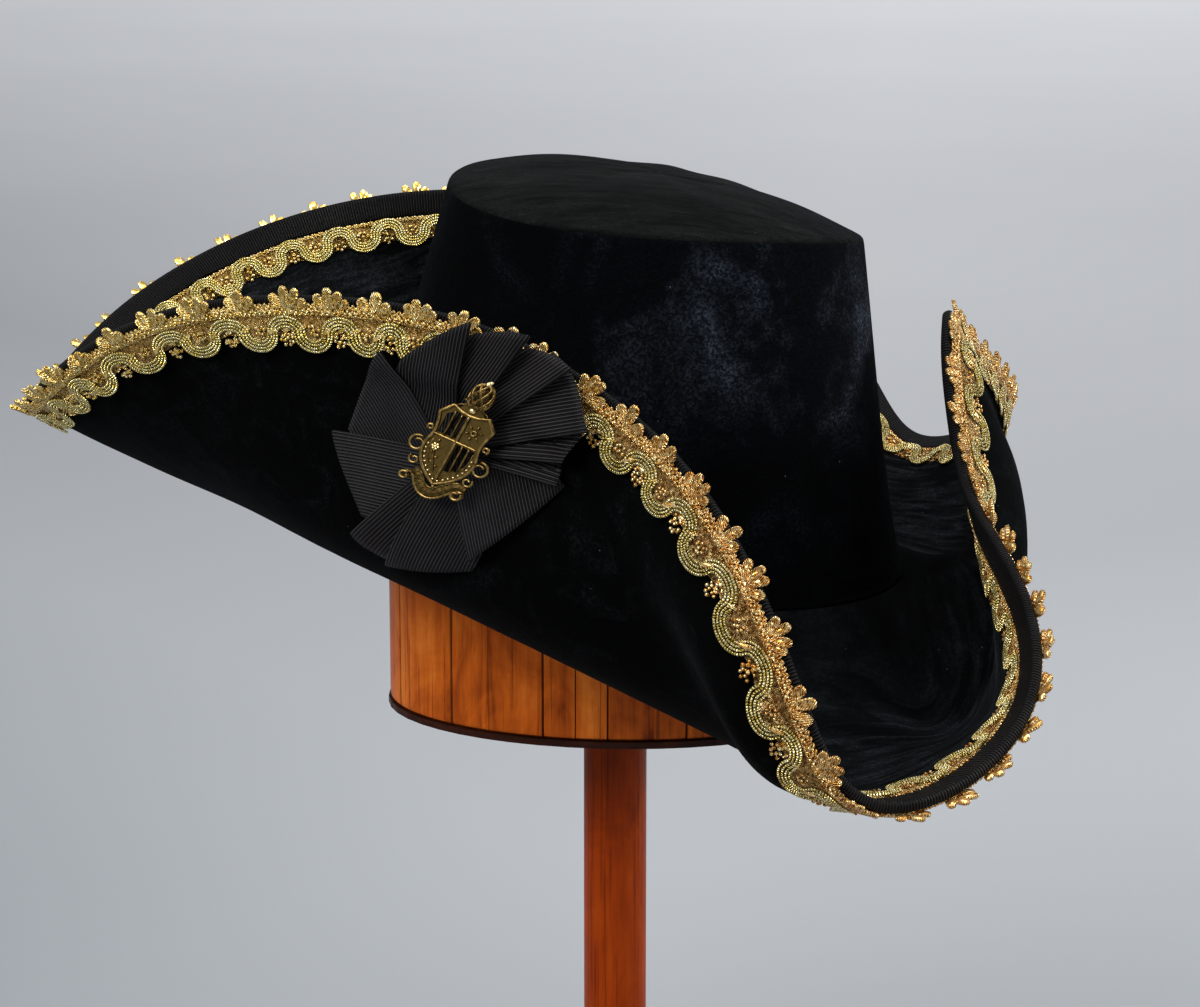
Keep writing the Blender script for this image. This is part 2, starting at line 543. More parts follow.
def wood_material(name, dark, mid, light, along="z", gloss=0.28, staves=False):
    m = Nodes(name)
    st = {"z": (1, 1, 0.09), "x": (0.09, 1, 1), "y": (1, 0.09, 1)}[along]
    c = m.coords(scale=st)
    g1 = m.noise(c, 70.0, 5.0, 0.6, 1.2)
    g2 = m.noise(c, 420.0, 3.0, 0.65, 0.3)
    blot = m.noise(m.coords(scale=(1, 1, 0.6)), 40.0, 4.0, 0.68, 0.9)
    f = m.math("ADD", m.math("MULTIPLY", g1, 0.45), m.math("ADD", m.math("MULTIPLY", g2, 0.18), m.math("MULTIPLY", blot, 0.5)))
    joint = None
    if staves:
        uv = m.node("ShaderNodeTexCoord").outputs["UV"]
        sep = m.node("ShaderNodeSeparateXYZ", Vector=uv)
        number = m.math("FLOOR", sep.outputs[0])
        tone = m.node("ShaderNodeTexWhiteNoise", {"noise_dimensions": "1D"}, W=number).outputs["Value"]
        f = m.math("ADD", f, m.math("MULTIPLY_ADD", tone, 0.07, -0.035))
        part = m.math("FRACT", sep.outputs[0])
        edge = m.math("MINIMUM", part, m.math("SUBTRACT", 1.0, part))
        joint = m.ramp(edge, [(0.0, (1, 1, 1)), (0.008, (0.8, 0.8, 0.8)), (0.024, (0, 0, 0))])
    col = m.ramp(f, [(0.36, dark), (0.56, mid), (0.78, light)])
    pores = m.ramp(m.noise(m.coords(scale=tuple(s * (3 if s == 1 else 0.5) for s in st)), 300.0, 2.0, 0.5), [(0.0, (1, 1, 1)), (0.33, (1, 1, 1)), (0.4, (0, 0, 0))])
    col = m.mix(m.math("MULTIPLY", pores, 0.5), col, (*[0.3 * v for v in dark], 1))
    marks = m.ramp(m.noise(m.coords(scale=(1, 1, 0.25)), 150.0, 3.0, 0.7), [(0.62, (0, 0, 0)), (0.72, (1, 1, 1))])
    col = m.mix(m.math("MULTIPLY", marks, 0.4), col, (*[0.4 * v for v in dark], 1))
    if joint is not None:
        col = m.mix(m.math("MULTIPLY", joint, 0.9), col, rgb(0.006, 0.002, 0.001))
    m.set(Base_Color=col, Roughness=m.math("MULTIPLY_ADD", blot, 0.2, gloss))
    m.set(Normal=m.bump(g2, 0.15, 0.0008, m.bump(blot, 0.2, 0.002)))
    m.bsdf.inputs["Specular IOR Level"].default_value = 0.08
    m.bsdf.inputs["Coat Weight"].default_value = 0.03
    m.bsdf.inputs["Coat Roughness"].default_value = 0.14
    return m, col


VELVET = velvet_material("crushed_velvet_upper", "upper")
VELVET_LOW = velvet_material("crushed_velvet_lower", "lower")
VELVET_CROWN = velvet_material("crushed_velvet_crown", "wall")
VELVET_TIP = velvet_material("crushed_velvet_tip", "tip")
BINDING = ribbon_material("ribbed_ribbon_binding", 1.15, tone=0.45)

# ------------------------------------------------------------------ brim and crown
ON_BRIM = {}


def brim_piece():
    cols, rows = 640, 38
    t = np.arange(cols) * 360 / cols
    u = np.concatenate([[-1.0], np.linspace(0, 1, rows)])
    up = np.zeros((rows + 1, cols, 3))
    lo = np.zeros_like(up)
    for k, uu in enumerate(u):
        if uu < 0:
            a = t * D2R
            base = np.stack([(CROWN_B - 2.5) * np.sin(a), -(CROWN_A - 2.5) * np.cos(a), 0 * a], -1)
            up[k], lo[k] = base + [0, 0, BRIM_T / 2], base - [0, 0, BRIM_T / 2]
        else:
            up[k], lo[k] = on_brim(np.full(cols, uu), t, BRIM_T / 2), on_brim(np.full(cols, uu), t, -BRIM_T / 2)
    v = np.concatenate([up, lo[::-1]]).reshape(-1, 3)
    n = 2 * (rows + 1)
    q = grid_quads(n, cols, wrap_rows=True, wrap_cols=True)
    if outward(v, q) < 0:
        q = q[:, ::-1]
    ob = make("brim_cloth", v, q, VELVET)
    ob.data.materials.append(VELVET_LOW)
    row = np.arange(len(ob.data.polygons)) // cols
    ob.data.polygons.foreach_set("material_index", (row > rows).astype(np.int32))
    return put(ob, "velvet", "brim")


def tip_height(x, y):
    return CROWN_H + TIP_SLOPE * y + TIP_LEAN * x + TIP_TWIST * (x / TIP_B) * (y / TIP_A)


def crown_dent(k, a):
    """Slight waviness of the stiffened wall."""
    return (0.7 * np.sin(3 * a + 1.1) * np.sin(np.pi * k) + 0.35 * np.sin(7 * a + 2.0 + 3 * k) * np.sin(np.pi * k)) * 1.0


def crown_point(k, a, inset=0.0):
    fl = CROWN_FLARE * (np.exp(-k * CROWN_H / FLARE_LEN) - 1)
    bow = CROWN_BOW * 4 * k * (1 - k) + fl + crown_dent(k, a)
    ra = CROWN_A + (TIP_A + CROWN_FLARE - CROWN_A) * k + bow - inset
    rb = CROWN_B + (TIP_B + CROWN_FLARE - CROWN_B) * k + bow - inset
    x, y = rb * np.sin(a), TIP_SHIFT * k - ra * np.cos(a)
    return np.stack([x, y, tip_height(x, y) * k], -1)


def crown_pieces():
    cols, rows = 360, 60
    a = np.arange(cols) * 2 * np.pi / cols
    k = np.linspace(0, 1, rows)[:, None] ** 1.0
    out = crown_point(k, a[None], 0.0)
    out[0, :, 2] = BRIM_T / 2 + 0.1
    # the top edge: the wall's cloth turns in under the tip's seam
    turn = []
    for dr, dz in ((0.25, 0.35), (0.8, 0.55), (1.6, 0.45)):
        p = crown_point(np.ones((1, 1)), a[None], dr)
        p[..., 2] += dz - 0.5
        turn.append(p)
    inn = crown_point(k, a[None], 2.0)[::-1].copy()
    inn[0, :, 2] -= 1.6
    inn[-1, :, 2] = BRIM_T / 2 + 0.1
    v = np.concatenate([out[:-1], out[-1:] - [0, 0, 0.5], *turn, inn])
    rows_all = v.shape[0]
    v = v.reshape(-1, 3)
    q = grid_quads(rows_all, cols, wrap_rows=True, wrap_cols=True)
    if outward(v, q) < 0:
        q = q[:, ::-1]
    side = put(make("crown_wall_cloth", v, q, VELVET_CROWN), "velvet", "crown_side")

    # tip: a puffed oval with its seam allowance rolled at the edge
    f = np.concatenate([np.linspace(0.02, 0.9, 26), [0.94, 0.965, 0.985, 0.996, 1.0]])
    rim = np.array([0.0] * 26 + [0.0, 0.05, 0.0, -0.35, -0.9])
    aa = a[None]
    x, y = TIP_B * f[:, None] * np.sin(aa), TIP_SHIFT - TIP_A * f[:, None] * np.cos(aa)
    z = tip_height(x, y) + TIP_DOME * (1 - f[:, None] ** 2.4) + rim[:, None] + 0.35
    z = z + (0.5 * np.sin(4 * aa + 5 * f[:, None]) + 0.4 * np.sin(9 * aa - 7 * f[:, None])) * f[:, None] * (1 - f[:, None]) * 3
    top = np.stack([x, y, z], -1)
    bot = np.stack([x, y, z - 1.6], -1)[::-1]
    v = np.concatenate([top, bot]).reshape(-1, 3)
    n = 2 * len(f)
    q = grid_quads(n, cols, wrap_cols=True)
    mid = [[0, TIP_SHIFT, tip_height(0, TIP_SHIFT) + TIP_DOME + 0.35], [0, TIP_SHIFT, tip_height(0, TIP_SHIFT) + TIP_DOME - 1.25]]
    j = np.arange(cols)
    t = np.concatenate([np.stack([np.full(cols, len(v)), (j + 1) % cols, j], -1), np.stack([np.full(cols, len(v) + 1), (n - 1) * cols + j, (n - 1) * cols + (j + 1) % cols], -1)])
    v = np.concatenate([v, mid])
    if outward(v, q, t) < 0:
        q, t = q[:, ::-1], t[:, ::-1]
    tip = put(make("crown_tip_cloth", v, q, VELVET_TIP, tris=t), "velvet", "crown_tip")
    return side, tip


def binding_piece():
    """Ribbed ribbon folded over the edge: 8.5 mm on each face."""
    cols = 1000
    l = np.arange(cols) * EDGE_L / cols
    half = BRIM_T / 2
    out, inn = half + 0.75, half + 0.22
    sec = [(8.5, out - 0.1), (8.3, out)] + [(e, out) for e in (6, 4, 2, 0.6)]
    sec += [(0.0 - out * math.sin(x) * 0.62, out * math.cos(x)) for x in np.linspace(0.25, math.pi - 0.25, 7)]
    sec += [(e, -out) for e in (0.6, 2, 4, 6)] + [(8.3, -out), (8.5, -out + 0.1)]
    back = [(8.5, -inn), (4, -inn), (0, -inn)] + [(0.0 - inn * math.sin(x) * 0.5, inn * math.cos(x)) for x in (2.2, 1.57, 0.94)] + [(0, inn), (4, inn), (8.5, inn)]
    loop = sec + back
    wob = 0.25 * np.sin(l * 2 * np.pi / (EDGE_L / 31)) + 0.2 * np.sin(l * 2 * np.pi / (EDGE_L / 73) + 1)
    v = np.stack([band(l, e + (wob if e > 8 else 0 * wob), off)[0] for e, off in loop])
    n = len(loop)
    q = grid_quads(n, cols, wrap_rows=True, wrap_cols=True)
    us = np.arange(cols + 1) * EDGE_L / cols
    d = [0.0]
    for a, b in zip(loop, loop[1:] + loop[:1]):
        d.append(d[-1] + math.hypot(a[0] - b[0], a[1] - b[1]))
    uv = grid_uv(us, np.array(d))
    flat = v.reshape(-1, 3)
    if outward(flat, q) < 0:
        q, uv = q[:, ::-1], uv[:, ::-1]
    return put(make("edge_ribbon", flat, q, BINDING, uv4=uv), "ribbon", "edge_binding")


brim_piece()
crown_pieces()
binding_piece()

# ------------------------------------------------------------------ gold braid
LEAF = thread_material("copper_gold_thread", (0.075, 0.022, 0.002), (0.80, 0.33, 0.034), (1.0, 0.86, 0.46), pitch=1.1, twist=2.0, cell=1200.0, metal=0.74, rough=0.24, left=(1.0, 0.60, 0.075))
CORD = thread_material("yellow_gold_cord", (0.05, 0.034, 0.002), (0.66, 0.44, 0.042), (1.0, 0.95, 0.60), pitch=0.95, twist=1.0, cell=1300.0, metal=0.78, rough=0.2, left=(1.0, 0.73, 0.085))
WEAVE = thread_material("copper_gold_weave", (0.012, 0.004, 0.0005), (0.34, 0.13, 0.012), (1.0, 0.76, 0.34), pitch=1.4, twist=3.0, cell=1250.0, metal=0.78, rough=0.26, left=(0.50, 0.26, 0.028))

# marks in mm along the edge where the photo shows a leaf cluster or a low arc; the rest is spaced evenly
LEAF_RUNS = [[109.5, 128.5, 148.5, 168.0, 187.0, 206.0, 221.5, 238.0, 254.0, 270.0, 286.0, 300.0, 320.5, 339.5, 356.5, 376.0, 395.0, 412.5, 432.0, 454.5, 476.0],
             [1288.0, 1310.5, 1330.0, 1349.0, 1370.0, 1390.5, 1411.5, 1435.0]]
ARC_RUNS = [[109.0, 138.0, 166.0, 193.0, 215.5, 236.3, 254.0, 274.0, 297.0, 320.0, 342.0, 366.0, 393.0, 424.0, 454.0]]


def marks_of(runs, pitch):
    out = []
    for i, run in enumerate(runs):
        out += run
        end = runs[(i + 1) % len(runs)][0] + (EDGE_L if i == len(runs) - 1 else 0)
        n = max(1, round((end - run[-1]) / pitch))
        out += list(run[-1] + (end - run[-1]) * np.arange(1, n) / n)
    return np.array(out)


LEAVES = marks_of(LEAF_RUNS, 17.9)
ARCS = marks_of(ARC_RUNS, 22.5)


def arc_l(ph):
    """Length along the edge at phase ph of the low arcs: whole numbers are the arcs' middles."""
    n = len(ARCS)
    x = np.arange(-1, n + 2)
    y = np.concatenate([[ARCS[-1] - EDGE_L], ARCS, [ARCS[0] + EDGE_L, ARCS[1] + EDGE_L]])
    turns = np.floor(ph / n)
    return np.interp(ph - turns * n, x, y) + turns * EDGE_L


def frames(l, e, off):
    """Path points with unit vectors: sideways in the cloth and out of it."""
    p, n = band(l, e, off)
    n = n * np.sign(off[0] if np.ndim(off) else off)
    tan = np.roll(p, -1, 0) - np.roll(p, 1, 0)
    return p, tan, n


def lay(heap, l, e, off, r, k=6, closed=False, squash=1.0):
    p, n = band(l, e, off)
    n = n * np.sign(np.broadcast_to(off, np.shape(l)))[:, None]
    if closed:
        tan = np.roll(p, -1, 0) - np.roll(p, 1, 0)
    else:
        tan = np.gradient(p, axis=0)
    tan = unit(tan)
    side = unit(np.cross(tan, n))
    heap.tube(p, side, unit(np.cross(side, tan)), r, k=k, closed=closed, squash=squash)


def serpentine(delta, e_mid, amp, steps=15, up_first=True):
    """Low arcs (away from the edge) at whole phases, high arcs between them, in even semicircles."""
    n = len(ARCS)
    th = (np.arange(steps) + 0.5) / steps * math.pi
    ph, e = [], []
    for i in range(n):
        p = (arc_l(np.array(i + 0.5)) - arc_l(np.array(i - 0.5)))
        d = delta / p * 1.15
        ph += list(i - (0.25 + d) * np.cos(th))
        e += list(e_mid + (amp + delta) * np.sin(th))
        ph += list(i + 0.5 - (0.25 - d) * np.cos(th))
        e += list(e_mid - (amp - delta) * np.sin(th))
    return arc_l(np.array(ph)), np.array(e)


BALL_V, BALL_Q, BALL_T = None, None, None


def ball_shape(nu=8, nv=5):
    v, q, t = [], [], []
    for i in range(1, nv):
        a = math.pi * i / nv
        for j in range(nu):
            b = 2 * math.pi * j / nu
            v.append((math.sin(a) * math.cos(b), math.sin(a) * math.sin(b), math.cos(a)))
    v += [(0, 0, 1), (0, 0, -1)]
    n = len(v)
    for i in range(nv - 2):
        for j in range(nu):
            q.append((i * nu + j, (i + 1) * nu + j, (i + 1) * nu + (j + 1) % nu, i * nu + (j + 1) % nu))
    for j in range(nu):
        t.append((n - 2, j, (j + 1) % nu))
        t.append((n - 1, (nv - 2) * nu + (j + 1) % nu, (nv - 2) * nu + j))
    return np.array(v), np.array(q), np.array(t)


BALL = ball_shape()


def balls(heap, p, ax, ay, az, size):
    """Small ellipsoids at p with axes ax, ay, az (unit) and sizes (n, 3)."""
    v, q, t = BALL
    size = np.broadcast_to(size, (len(p), 3))
    pts = p[:, None] + sum(v[None, :, k, None] * size[:, None, k, None] * a[:, None] for k, a in enumerate((ax, ay, az)))
    m = len(v)
    off = (np.arange(len(p)) * m)[:, None, None]
    uv = np.zeros((len(p) * len(q), 4, 2))
    vq = v[q]
    uv[:] = np.tile(np.stack([vq[..., 0] * 2 + vq[..., 2], vq[..., 1]], -1), (len(p), 1, 1))
    heap.add(pts.reshape(-1, 3), (q[None] + off).reshape(-1, 4), (t[None] + off).reshape(-1, 3), uv4=uv)


def lay_balls(heap, l, e, off, size, spin=None):
    """Ellipsoids on the cloth: first size along the edge, second across, third out of it."""
    l, e = np.asarray(l, float), np.asarray(e, float)
    off = np.broadcast_to(np.asarray(off, float), l.shape)
    p, n = band(l, e, off)
    n = n * np.sign(off)[:, None]
    along = unit(band(l + 0.5, e, off)[0] - band(l - 0.5, e, off)[0])
    across = unit(np.cross(n, along))
    if spin is not None:
        c, s = np.cos(spin)[:, None], np.sin(spin)[:, None]
        along, across = along * c + across * s, across * c - along * s
    balls(heap, p, along, across, n, size)


def lobe_shape():
    """A rounded loop of wound thread: a low pillow with a raised rim, long axis y from 0 to 1."""
    nu = 14
    rings = [(1.0, 0.0), (1.03, 0.45), (0.9, 0.95), (0.72, 0.86), (0.5, 0.66), (0.25, 0.78)]
    v, q, t = [], [], []
    for r, h in rings:
        for j in range(nu):
            b = 2 * math.pi * j / nu
            y = math.copysign(abs(math.cos(b)) ** 0.8, math.cos(b))
            x = math.copysign(abs(math.sin(b)) ** 0.85, math.sin(b))
            v.append((r * x * (1.0 + 0.16 * y) * 0.5, 0.5 + 0.5 * r * y, h))
    v += [(0, 0.5, 0.82), (0, 0.5, 0.0)]
    n = len(v)
    for i in range(len(rings) - 1):
        for j in range(nu):
            q.append((i * nu + j, i * nu + (j + 1) % nu, (i + 1) * nu + (j + 1) % nu, (i + 1) * nu + j))
    last = (len(rings) - 1) * nu
    for j in range(nu):
        t.append((n - 2, last + j, last + (j + 1) % nu))
        t.append((n - 1, (j + 1) % nu, j))
    v, q, t = np.array(v), np.array(q), np.array(t)
    if outward(v, q, t) < 0:
        q, t = q[:, ::-1], t[:, ::-1]
    return v, q, t


LOBE = lobe_shape()


def lobe(heap, l0, e0, ang, length, width, thick, off0, lift, side):
    """One loop from (l0, e0), turned ang from straight out past the edge, rising by lift at its tip."""
    v, q, t = LOBE
    p, n = band(np.array([l0]), np.array([e0]), np.array([off0 * side]))
    n = n[0] * side
    a = unit(band(l0 + 0.5, e0, off0 * side)[0] - band(l0 - 0.5, e0, off0 * side)[0])
    outw = unit(band(l0, e0 - 0.5, off0 * side)[0] - band(l0, e0 + 0.5, off0 * side)[0])
    y = unit(outw * math.cos(ang) + a * math.sin(ang))
    x = unit(np.cross(y, n))
    z = unit(np.cross(x, y))
    vv = p[0] + v[:, :1] * width * x + v[:, 1:2] * length * y + v[:, 2:] * thick * z + (v[:, 1:2] ** 2) * lift * z
    uv = np.stack([v[q][..., 1] * length + v[q][..., 0] * 2, v[q][..., 0]], -1)
    flip = np.dot(np.cross(x, y), z) < 0
    qq, tt = (q[:, ::-1], t[:, ::-1]) if flip else (q, t)
    heap.add(vv, qq, tt, uv4=uv[:, ::-1] if flip else uv)


def woven_strip(name, mat, e_in, e_out, lo, hi, side, wave=None, cols=1500):
    """A thin woven ground between e_in and e_out, standing from lo to hi off the cloth's middle."""
    l = np.arange(cols) * EDGE_L / cols
    shift = 0 * l if wave is None else wave(l)
    es = np.linspace(0, 1, 9)
    top = [(e_in + (e_out + shift - e_in) * f, hi - 0.35 * (2 * f - 1) ** 4 + 0.12 * np.sin(l * 2.4 + 9 * f)) for f in es]
    loop = top + [(e_out + shift, lo + 0 * l), (e_in + 0 * l, lo + 0 * l)]
    v = np.stack([band(l, e + 0 * l, side * h)[0] for e, h in loop])
    n = len(loop)
    q = grid_quads(n, cols, wrap_rows=True, wrap_cols=True)
    uv = grid_uv(np.arange(cols + 1) * EDGE_L / cols, np.array([0, 1, 2, 3, 4, 5, 6, 7, 8, 9, 10, 11.0])[: n + 1] * 1.5)
    flat = v.reshape(-1, 3)
    if outward(flat, q) < 0:
        q, uv = q[:, ::-1], uv[:, ::-1]
    return make(name, flat, q, mat, uv4=uv)


def arc_phase(l):
    n = len(ARCS)
    x = np.concatenate([[ARCS[-1] - EDGE_L], ARCS, [ARCS[0] + EDGE_L]])
    return np.interp(np.mod(l - ARCS[0], EDGE_L) + ARCS[0], x, np.arange(-1, n + 1))


def outer_braid():
    side = -1
    base = BRIM_T / 2 + 0.85                   # the braid lies over the binding's lower face
    strip = woven_strip("outer_braid_ground", WEAVE, 1.6, 13.2, base - 0.05, base + 0.7, side, wave=lambda l: 1.5 * np.cos(2 * math.pi * arc_phase(l)))
    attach(strip, "root"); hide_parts("outer_braid")
    cords = Heap()
    for d in (-1.74, -0.58, 0.58, 1.74):
        l, e = serpentine(d, 11.5, 4.55)
        ph = arc_phase(l)
        lay(cords, l, e, side * (base + 1.45 - 0.3 * np.cos(2 * math.pi * ph)), 0.5, closed=True)
    put(cords.build("outer_braid_cords", CORD), "gold_braid")
    # three-strand plait along the braid's upper border, with a looped border over it
    plait = Heap()
    l = np.arange(1400) * EDGE_L / 1400
    turns = round(EDGE_L / 6.2)
    for k in range(3):
        a = 2 * math.pi * (turns * l / EDGE_L + k / 3)
        lay(plait, l, 3.4 + 1.45 * np.sin(a), side * (base + 0.8 + 0.42 * np.cos(2 * a)), 0.62, closed=True)
    loops_n = round(EDGE_L / 2.1)
    la = np.arange(loops_n * 6) * EDGE_L / (loops_n * 6)
    lay(plait, la, 1.5 + 0.5 * np.sin(2 * math.pi * loops_n * la / EDGE_L), side * (base + 0.5 + 0.3 * np.cos(2 * math.pi * loops_n * la / EDGE_L)), 0.42, k=5, closed=True)
    put(plait.build("outer_braid_plait", LEAF), "gold_braid")
    # copper knots inside the low arcs, satin bars across, and hanging picots between the arcs
    knots = Heap()
    n = len(ARCS)
    i = np.arange(n)
    mid = arc_l(i.astype(float))
    ls, es, hs, sz = [], [], [], []
    for k in range(8):
        a = 2 * math.pi * k / 7 + 0.3 * rng.standard_normal(n)
        r = 0.0 if k == 7 else 1.5
        ls.append(mid + r * np.cos(a) * 1.25 + 0.2 * rng.standard_normal(n))
        es.append(10.2 + r * np.sin(a) + 0.2 * rng.standard_normal(n))
        hs.append(np.full(n, base + 0.95 + (0.45 if k == 7 else 0)))
        s = 0.62 + 0.16 * rng.random(n)
        sz.append(np.stack([s, s, s * 0.95], -1))
    for k in range(13):                              # loose knots under the high arcs
        ls.append(arc_l(i + 0.5) + rng.uniform(-2.9, 2.9, n))
        es.append(rng.uniform(9.6, 14.0, n))
        hs.append(np.full(n, base + 0.8))
        s = 0.48 + 0.24 * rng.random(n)
        sz.append(np.stack([s * 1.3, s, s], -1))
    for dx, de in ((-2.5, 14.0), (-1.0, 15.3), (0.8, 15.5), (2.4, 14.2), (-0.9, 13.9), (0.9, 14.1)):     # picots
        ls.append(arc_l(i + 0.5) + dx + 0.15 * rng.standard_normal(n))
        es.append(de + 0.25 * rng.standard_normal(n))
        hs.append(np.full(n, base + 0.55))
        s = 0.7 + 0.12 * rng.random(n)
        sz.append(np.stack([s, s, s * 0.9], -1))
    lay_balls(knots, np.concatenate(ls), np.concatenate(es), side * np.concatenate(hs), np.concatenate(sz))
    for ph, e0, ang, wide, h in ((0.24, 10.6, 0.75, 2.9, 1.75), (-0.22, 9.6, 0.6, 2.5, 1.0), (0.5, 10.0, 0.2, 2.0, 1.0)):
        lay_balls(knots, arc_l(i + ph), np.full(n, e0), side * np.full(n, base + h), np.tile([wide, 0.85, 0.6], (n, 1)), spin=np.full(n, ang) + 0.12 * rng.standard_normal(n))
    put(knots.build("outer_braid_knots", LEAF), "gold_braid")
    # leaf clusters past the edge: fans of three or four loops
    leaf = Heap()
    four = ((-2.1, -0.74, 5.9, 3.2), (-0.7, -0.25, 7.7, 3.3), (0.8, 0.26, 7.6, 3.3), (2.2, 0.78, 5.7, 3.1))
    three = ((-2.0, -0.66, 6.0, 3.7), (0.0, 0.0, 8.1, 3.9), (2.1, 0.66, 5.9, 3.6))
    for k, c in enumerate(LEAVES):
        j = rng.standard_normal(20)
        lean = 0.15 + 0.07 * j[0] + 0.26 * math.exp(-(((c - 300) / 45) ** 2))
        big = 1 + 0.05 * j[1] - 0.42 * math.exp(-(((c - 98) / 20) ** 2))
        for a, (dl, ang, length, width) in enumerate(three if k % 3 == 1 else four):
            lobe(leaf, c + dl + 0.2 * j[2 + a], 2.5 + 0.15 * j[6 + a], ang + lean + 0.07 * j[10 + a], length * big, width, 1.35, base + 0.35 + (0.45 if a in (1, 2) else 0.0), 0.35 + 0.25 * abs(j[14]), side)
        lobe(leaf, c + 0.1, 4.4, lean, 3.6, 5.4, 1.1, base + 0.55, 0.0, side)
    put(leaf.build("outer_braid_leaves", LEAF), "gold_braid")


def inner_braid():
    side = 1
    base = BRIM_T / 2 + 0.1
    strip = woven_strip("inner_braid_ground", WEAVE, 9.6, 19.0, base, base + 0.6, side, wave=lambda l: 1.0 * np.cos(2 * math.pi * arc_phase(l)))
    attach(strip, "root"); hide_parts("inner_braid")
    cords = Heap()
    for d in (-1.65, -0.55, 0.55, 1.65):
        l, e = serpentine(d, 15.0, 4.2)
        ph = arc_phase(l)
        lay(cords, l, e, side * (base + 1.25 - 0.28 * np.cos(2 * math.pi * ph)), 0.54, closed=True)
    put(cords.build("inner_braid_cords", CORD), "gold_braid")
    knots = Heap()
    n = len(ARCS)
    i = np.arange(n)
    ls, es, sz = [], [], []
    for k in range(9):
        a = 2 * math.pi * k / 8 + 0.3 * rng.standard_normal(n)
        r = 0.0 if k == 8 else 1.7
        ls.append(arc_l(i.astype(float)) + r * np.cos(a) * 1.4)
        es.append(14.7 + r * np.sin(a))
        s = 0.66 + 0.12 * rng.random(n)
        sz.append(np.stack([s, s, s], -1))
    for k in range(9):
        ls.append(arc_l(i + 0.5) + rng.uniform(-2.8, 2.8, n))
        es.append(12.6 + rng.uniform(0, 4.4, n))
        s = 0.52 + 0.2 * rng.random(n)
        sz.append(np.stack([s * 1.2, s, s], -1))
    for dx, de in ((-1.8, 17.4), (-0.1, 18.4), (1.7, 17.5)):
        ls.append(arc_l(i + 0.5) + dx)
        es.append(de + 0.2 * rng.standard_normal(n))
        s = 0.7 + 0.1 * rng.random(n)
        sz.append(np.stack([s, s, s * 0.9], -1))
    ls, es, sz = np.concatenate(ls), np.concatenate(es), np.concatenate(sz)
    lay_balls(knots, ls, es, side * np.full(len(ls), base + 0.85), sz)
    l = np.arange(900) * EDGE_L / 900
    turns = round(EDGE_L / 6.5)
    for k in range(2):
        a = 2 * math.pi * (turns * l / EDGE_L + k / 2)
        lay(knots, l, 9.9 + 0.55 * np.sin(a), side * (base + 0.55 + 0.25 * np.cos(a)), 0.45, k=5, closed=True)
    put(knots.build("inner_braid_knots", LEAF), "gold_braid")


outer_braid()
inner_braid()

# ------------------------------------------------------------------ cockade and crest
RIBBON_MAT = ribbon_material("ribbed_ribbon_cockade", 1.25, strength=1.1)


def cockade_frame():
    u = COCKADE_S / w_at(np.array(COCKADE_T))
    mid = on_brim(np.array([u]), np.array([COCKADE_T]))[0]
    n = unit(pick(BN, np.array([u]), np.array([COCKADE_T])))[0]
    out = -n
    up = unit(np.array([0, 0, 1.0]) - out * out[2])
    right = unit(np.cross(up, out))
    return mid, right, up, out


C_MID, C_RIGHT, C_UP, C_OUT = cockade_frame()


def c_point(x, y, z):
    x, y, z = np.broadcast_arrays(*(np.asarray(k, float) for k in (x, y, z)))
    return C_MID + x[..., None] * C_RIGHT + y[..., None] * C_UP + z[..., None] * C_OUT


def under(x, y):
    """Height of the brim under (x, y) of the cockade's plane, with room for the braid near the edge."""
    x, y = np.broadcast_arrays(np.asarray(x, float), np.asarray(y, float))
    shape = x.shape
    x, y = x.ravel(), y.ravel()
    t, u = COCKADE_T + x * 0.28, (COCKADE_S + y) / w_at(np.array(COCKADE_T))

    def loc(u, t):
        d = pick(BG, u, t) - C_MID
        return d @ C_RIGHT, d @ C_UP, d @ C_OUT
    for _ in range(14):
        a, b, c = loc(u, t), loc(u, t + 0.3), loc(u + 0.004, t)
        jxx, jyx, jxy, jyy = (b[0] - a[0]) / 0.3, (b[1] - a[1]) / 0.3, (c[0] - a[0]) / 0.004, (c[1] - a[1]) / 0.004
        ex, ey, det = x - a[0], y - a[1], jxx * jyy - jxy * jyx
        t = t + np.clip((ex * jyy - jxy * ey) / det, -12, 12)
        u = np.clip(u + np.clip((jxx * ey - jyx * ex) / det, -0.1, 0.1), 0.05, 1.12)
    e = (1 - u) * w_at(t)
    return (loc(u, t)[2] + BRIM_T / 2 + 0.5 + 2.6 * smooth((27 - e) / 8)).reshape(shape)


# knife pleats: rim corner where the panel starts, rim corner of its raised fold, rise
PLEATS = [
    [-31.9, -30.0, -43.0, -1.5, 3.4],
    [-38.7, -0.1, -25.8, 30.7, 3.4],
    [-18.7, 29.4, 5.3, 46.7, 5.0],
    [5.4, 42.3, 26.7, 46.4, 6.4],
    [26.8, 41.0, 43.8, 39.0, 6.8],
    [41.4, 35.6, 54.2, 20.2, 7.0],
    [49.7, 18.4, 45.4, 7.2, 6.6],
    [41.6, 5.3, 44.2, -1.1, 5.2],
    [44.6, -2.4, 14.7, -34.4, 3.0],
    [13.6, -39.0, -21.9, -46.2, 3.2],
    [-24.4, -44.6, -35.1, -37.4, 3.4],
]


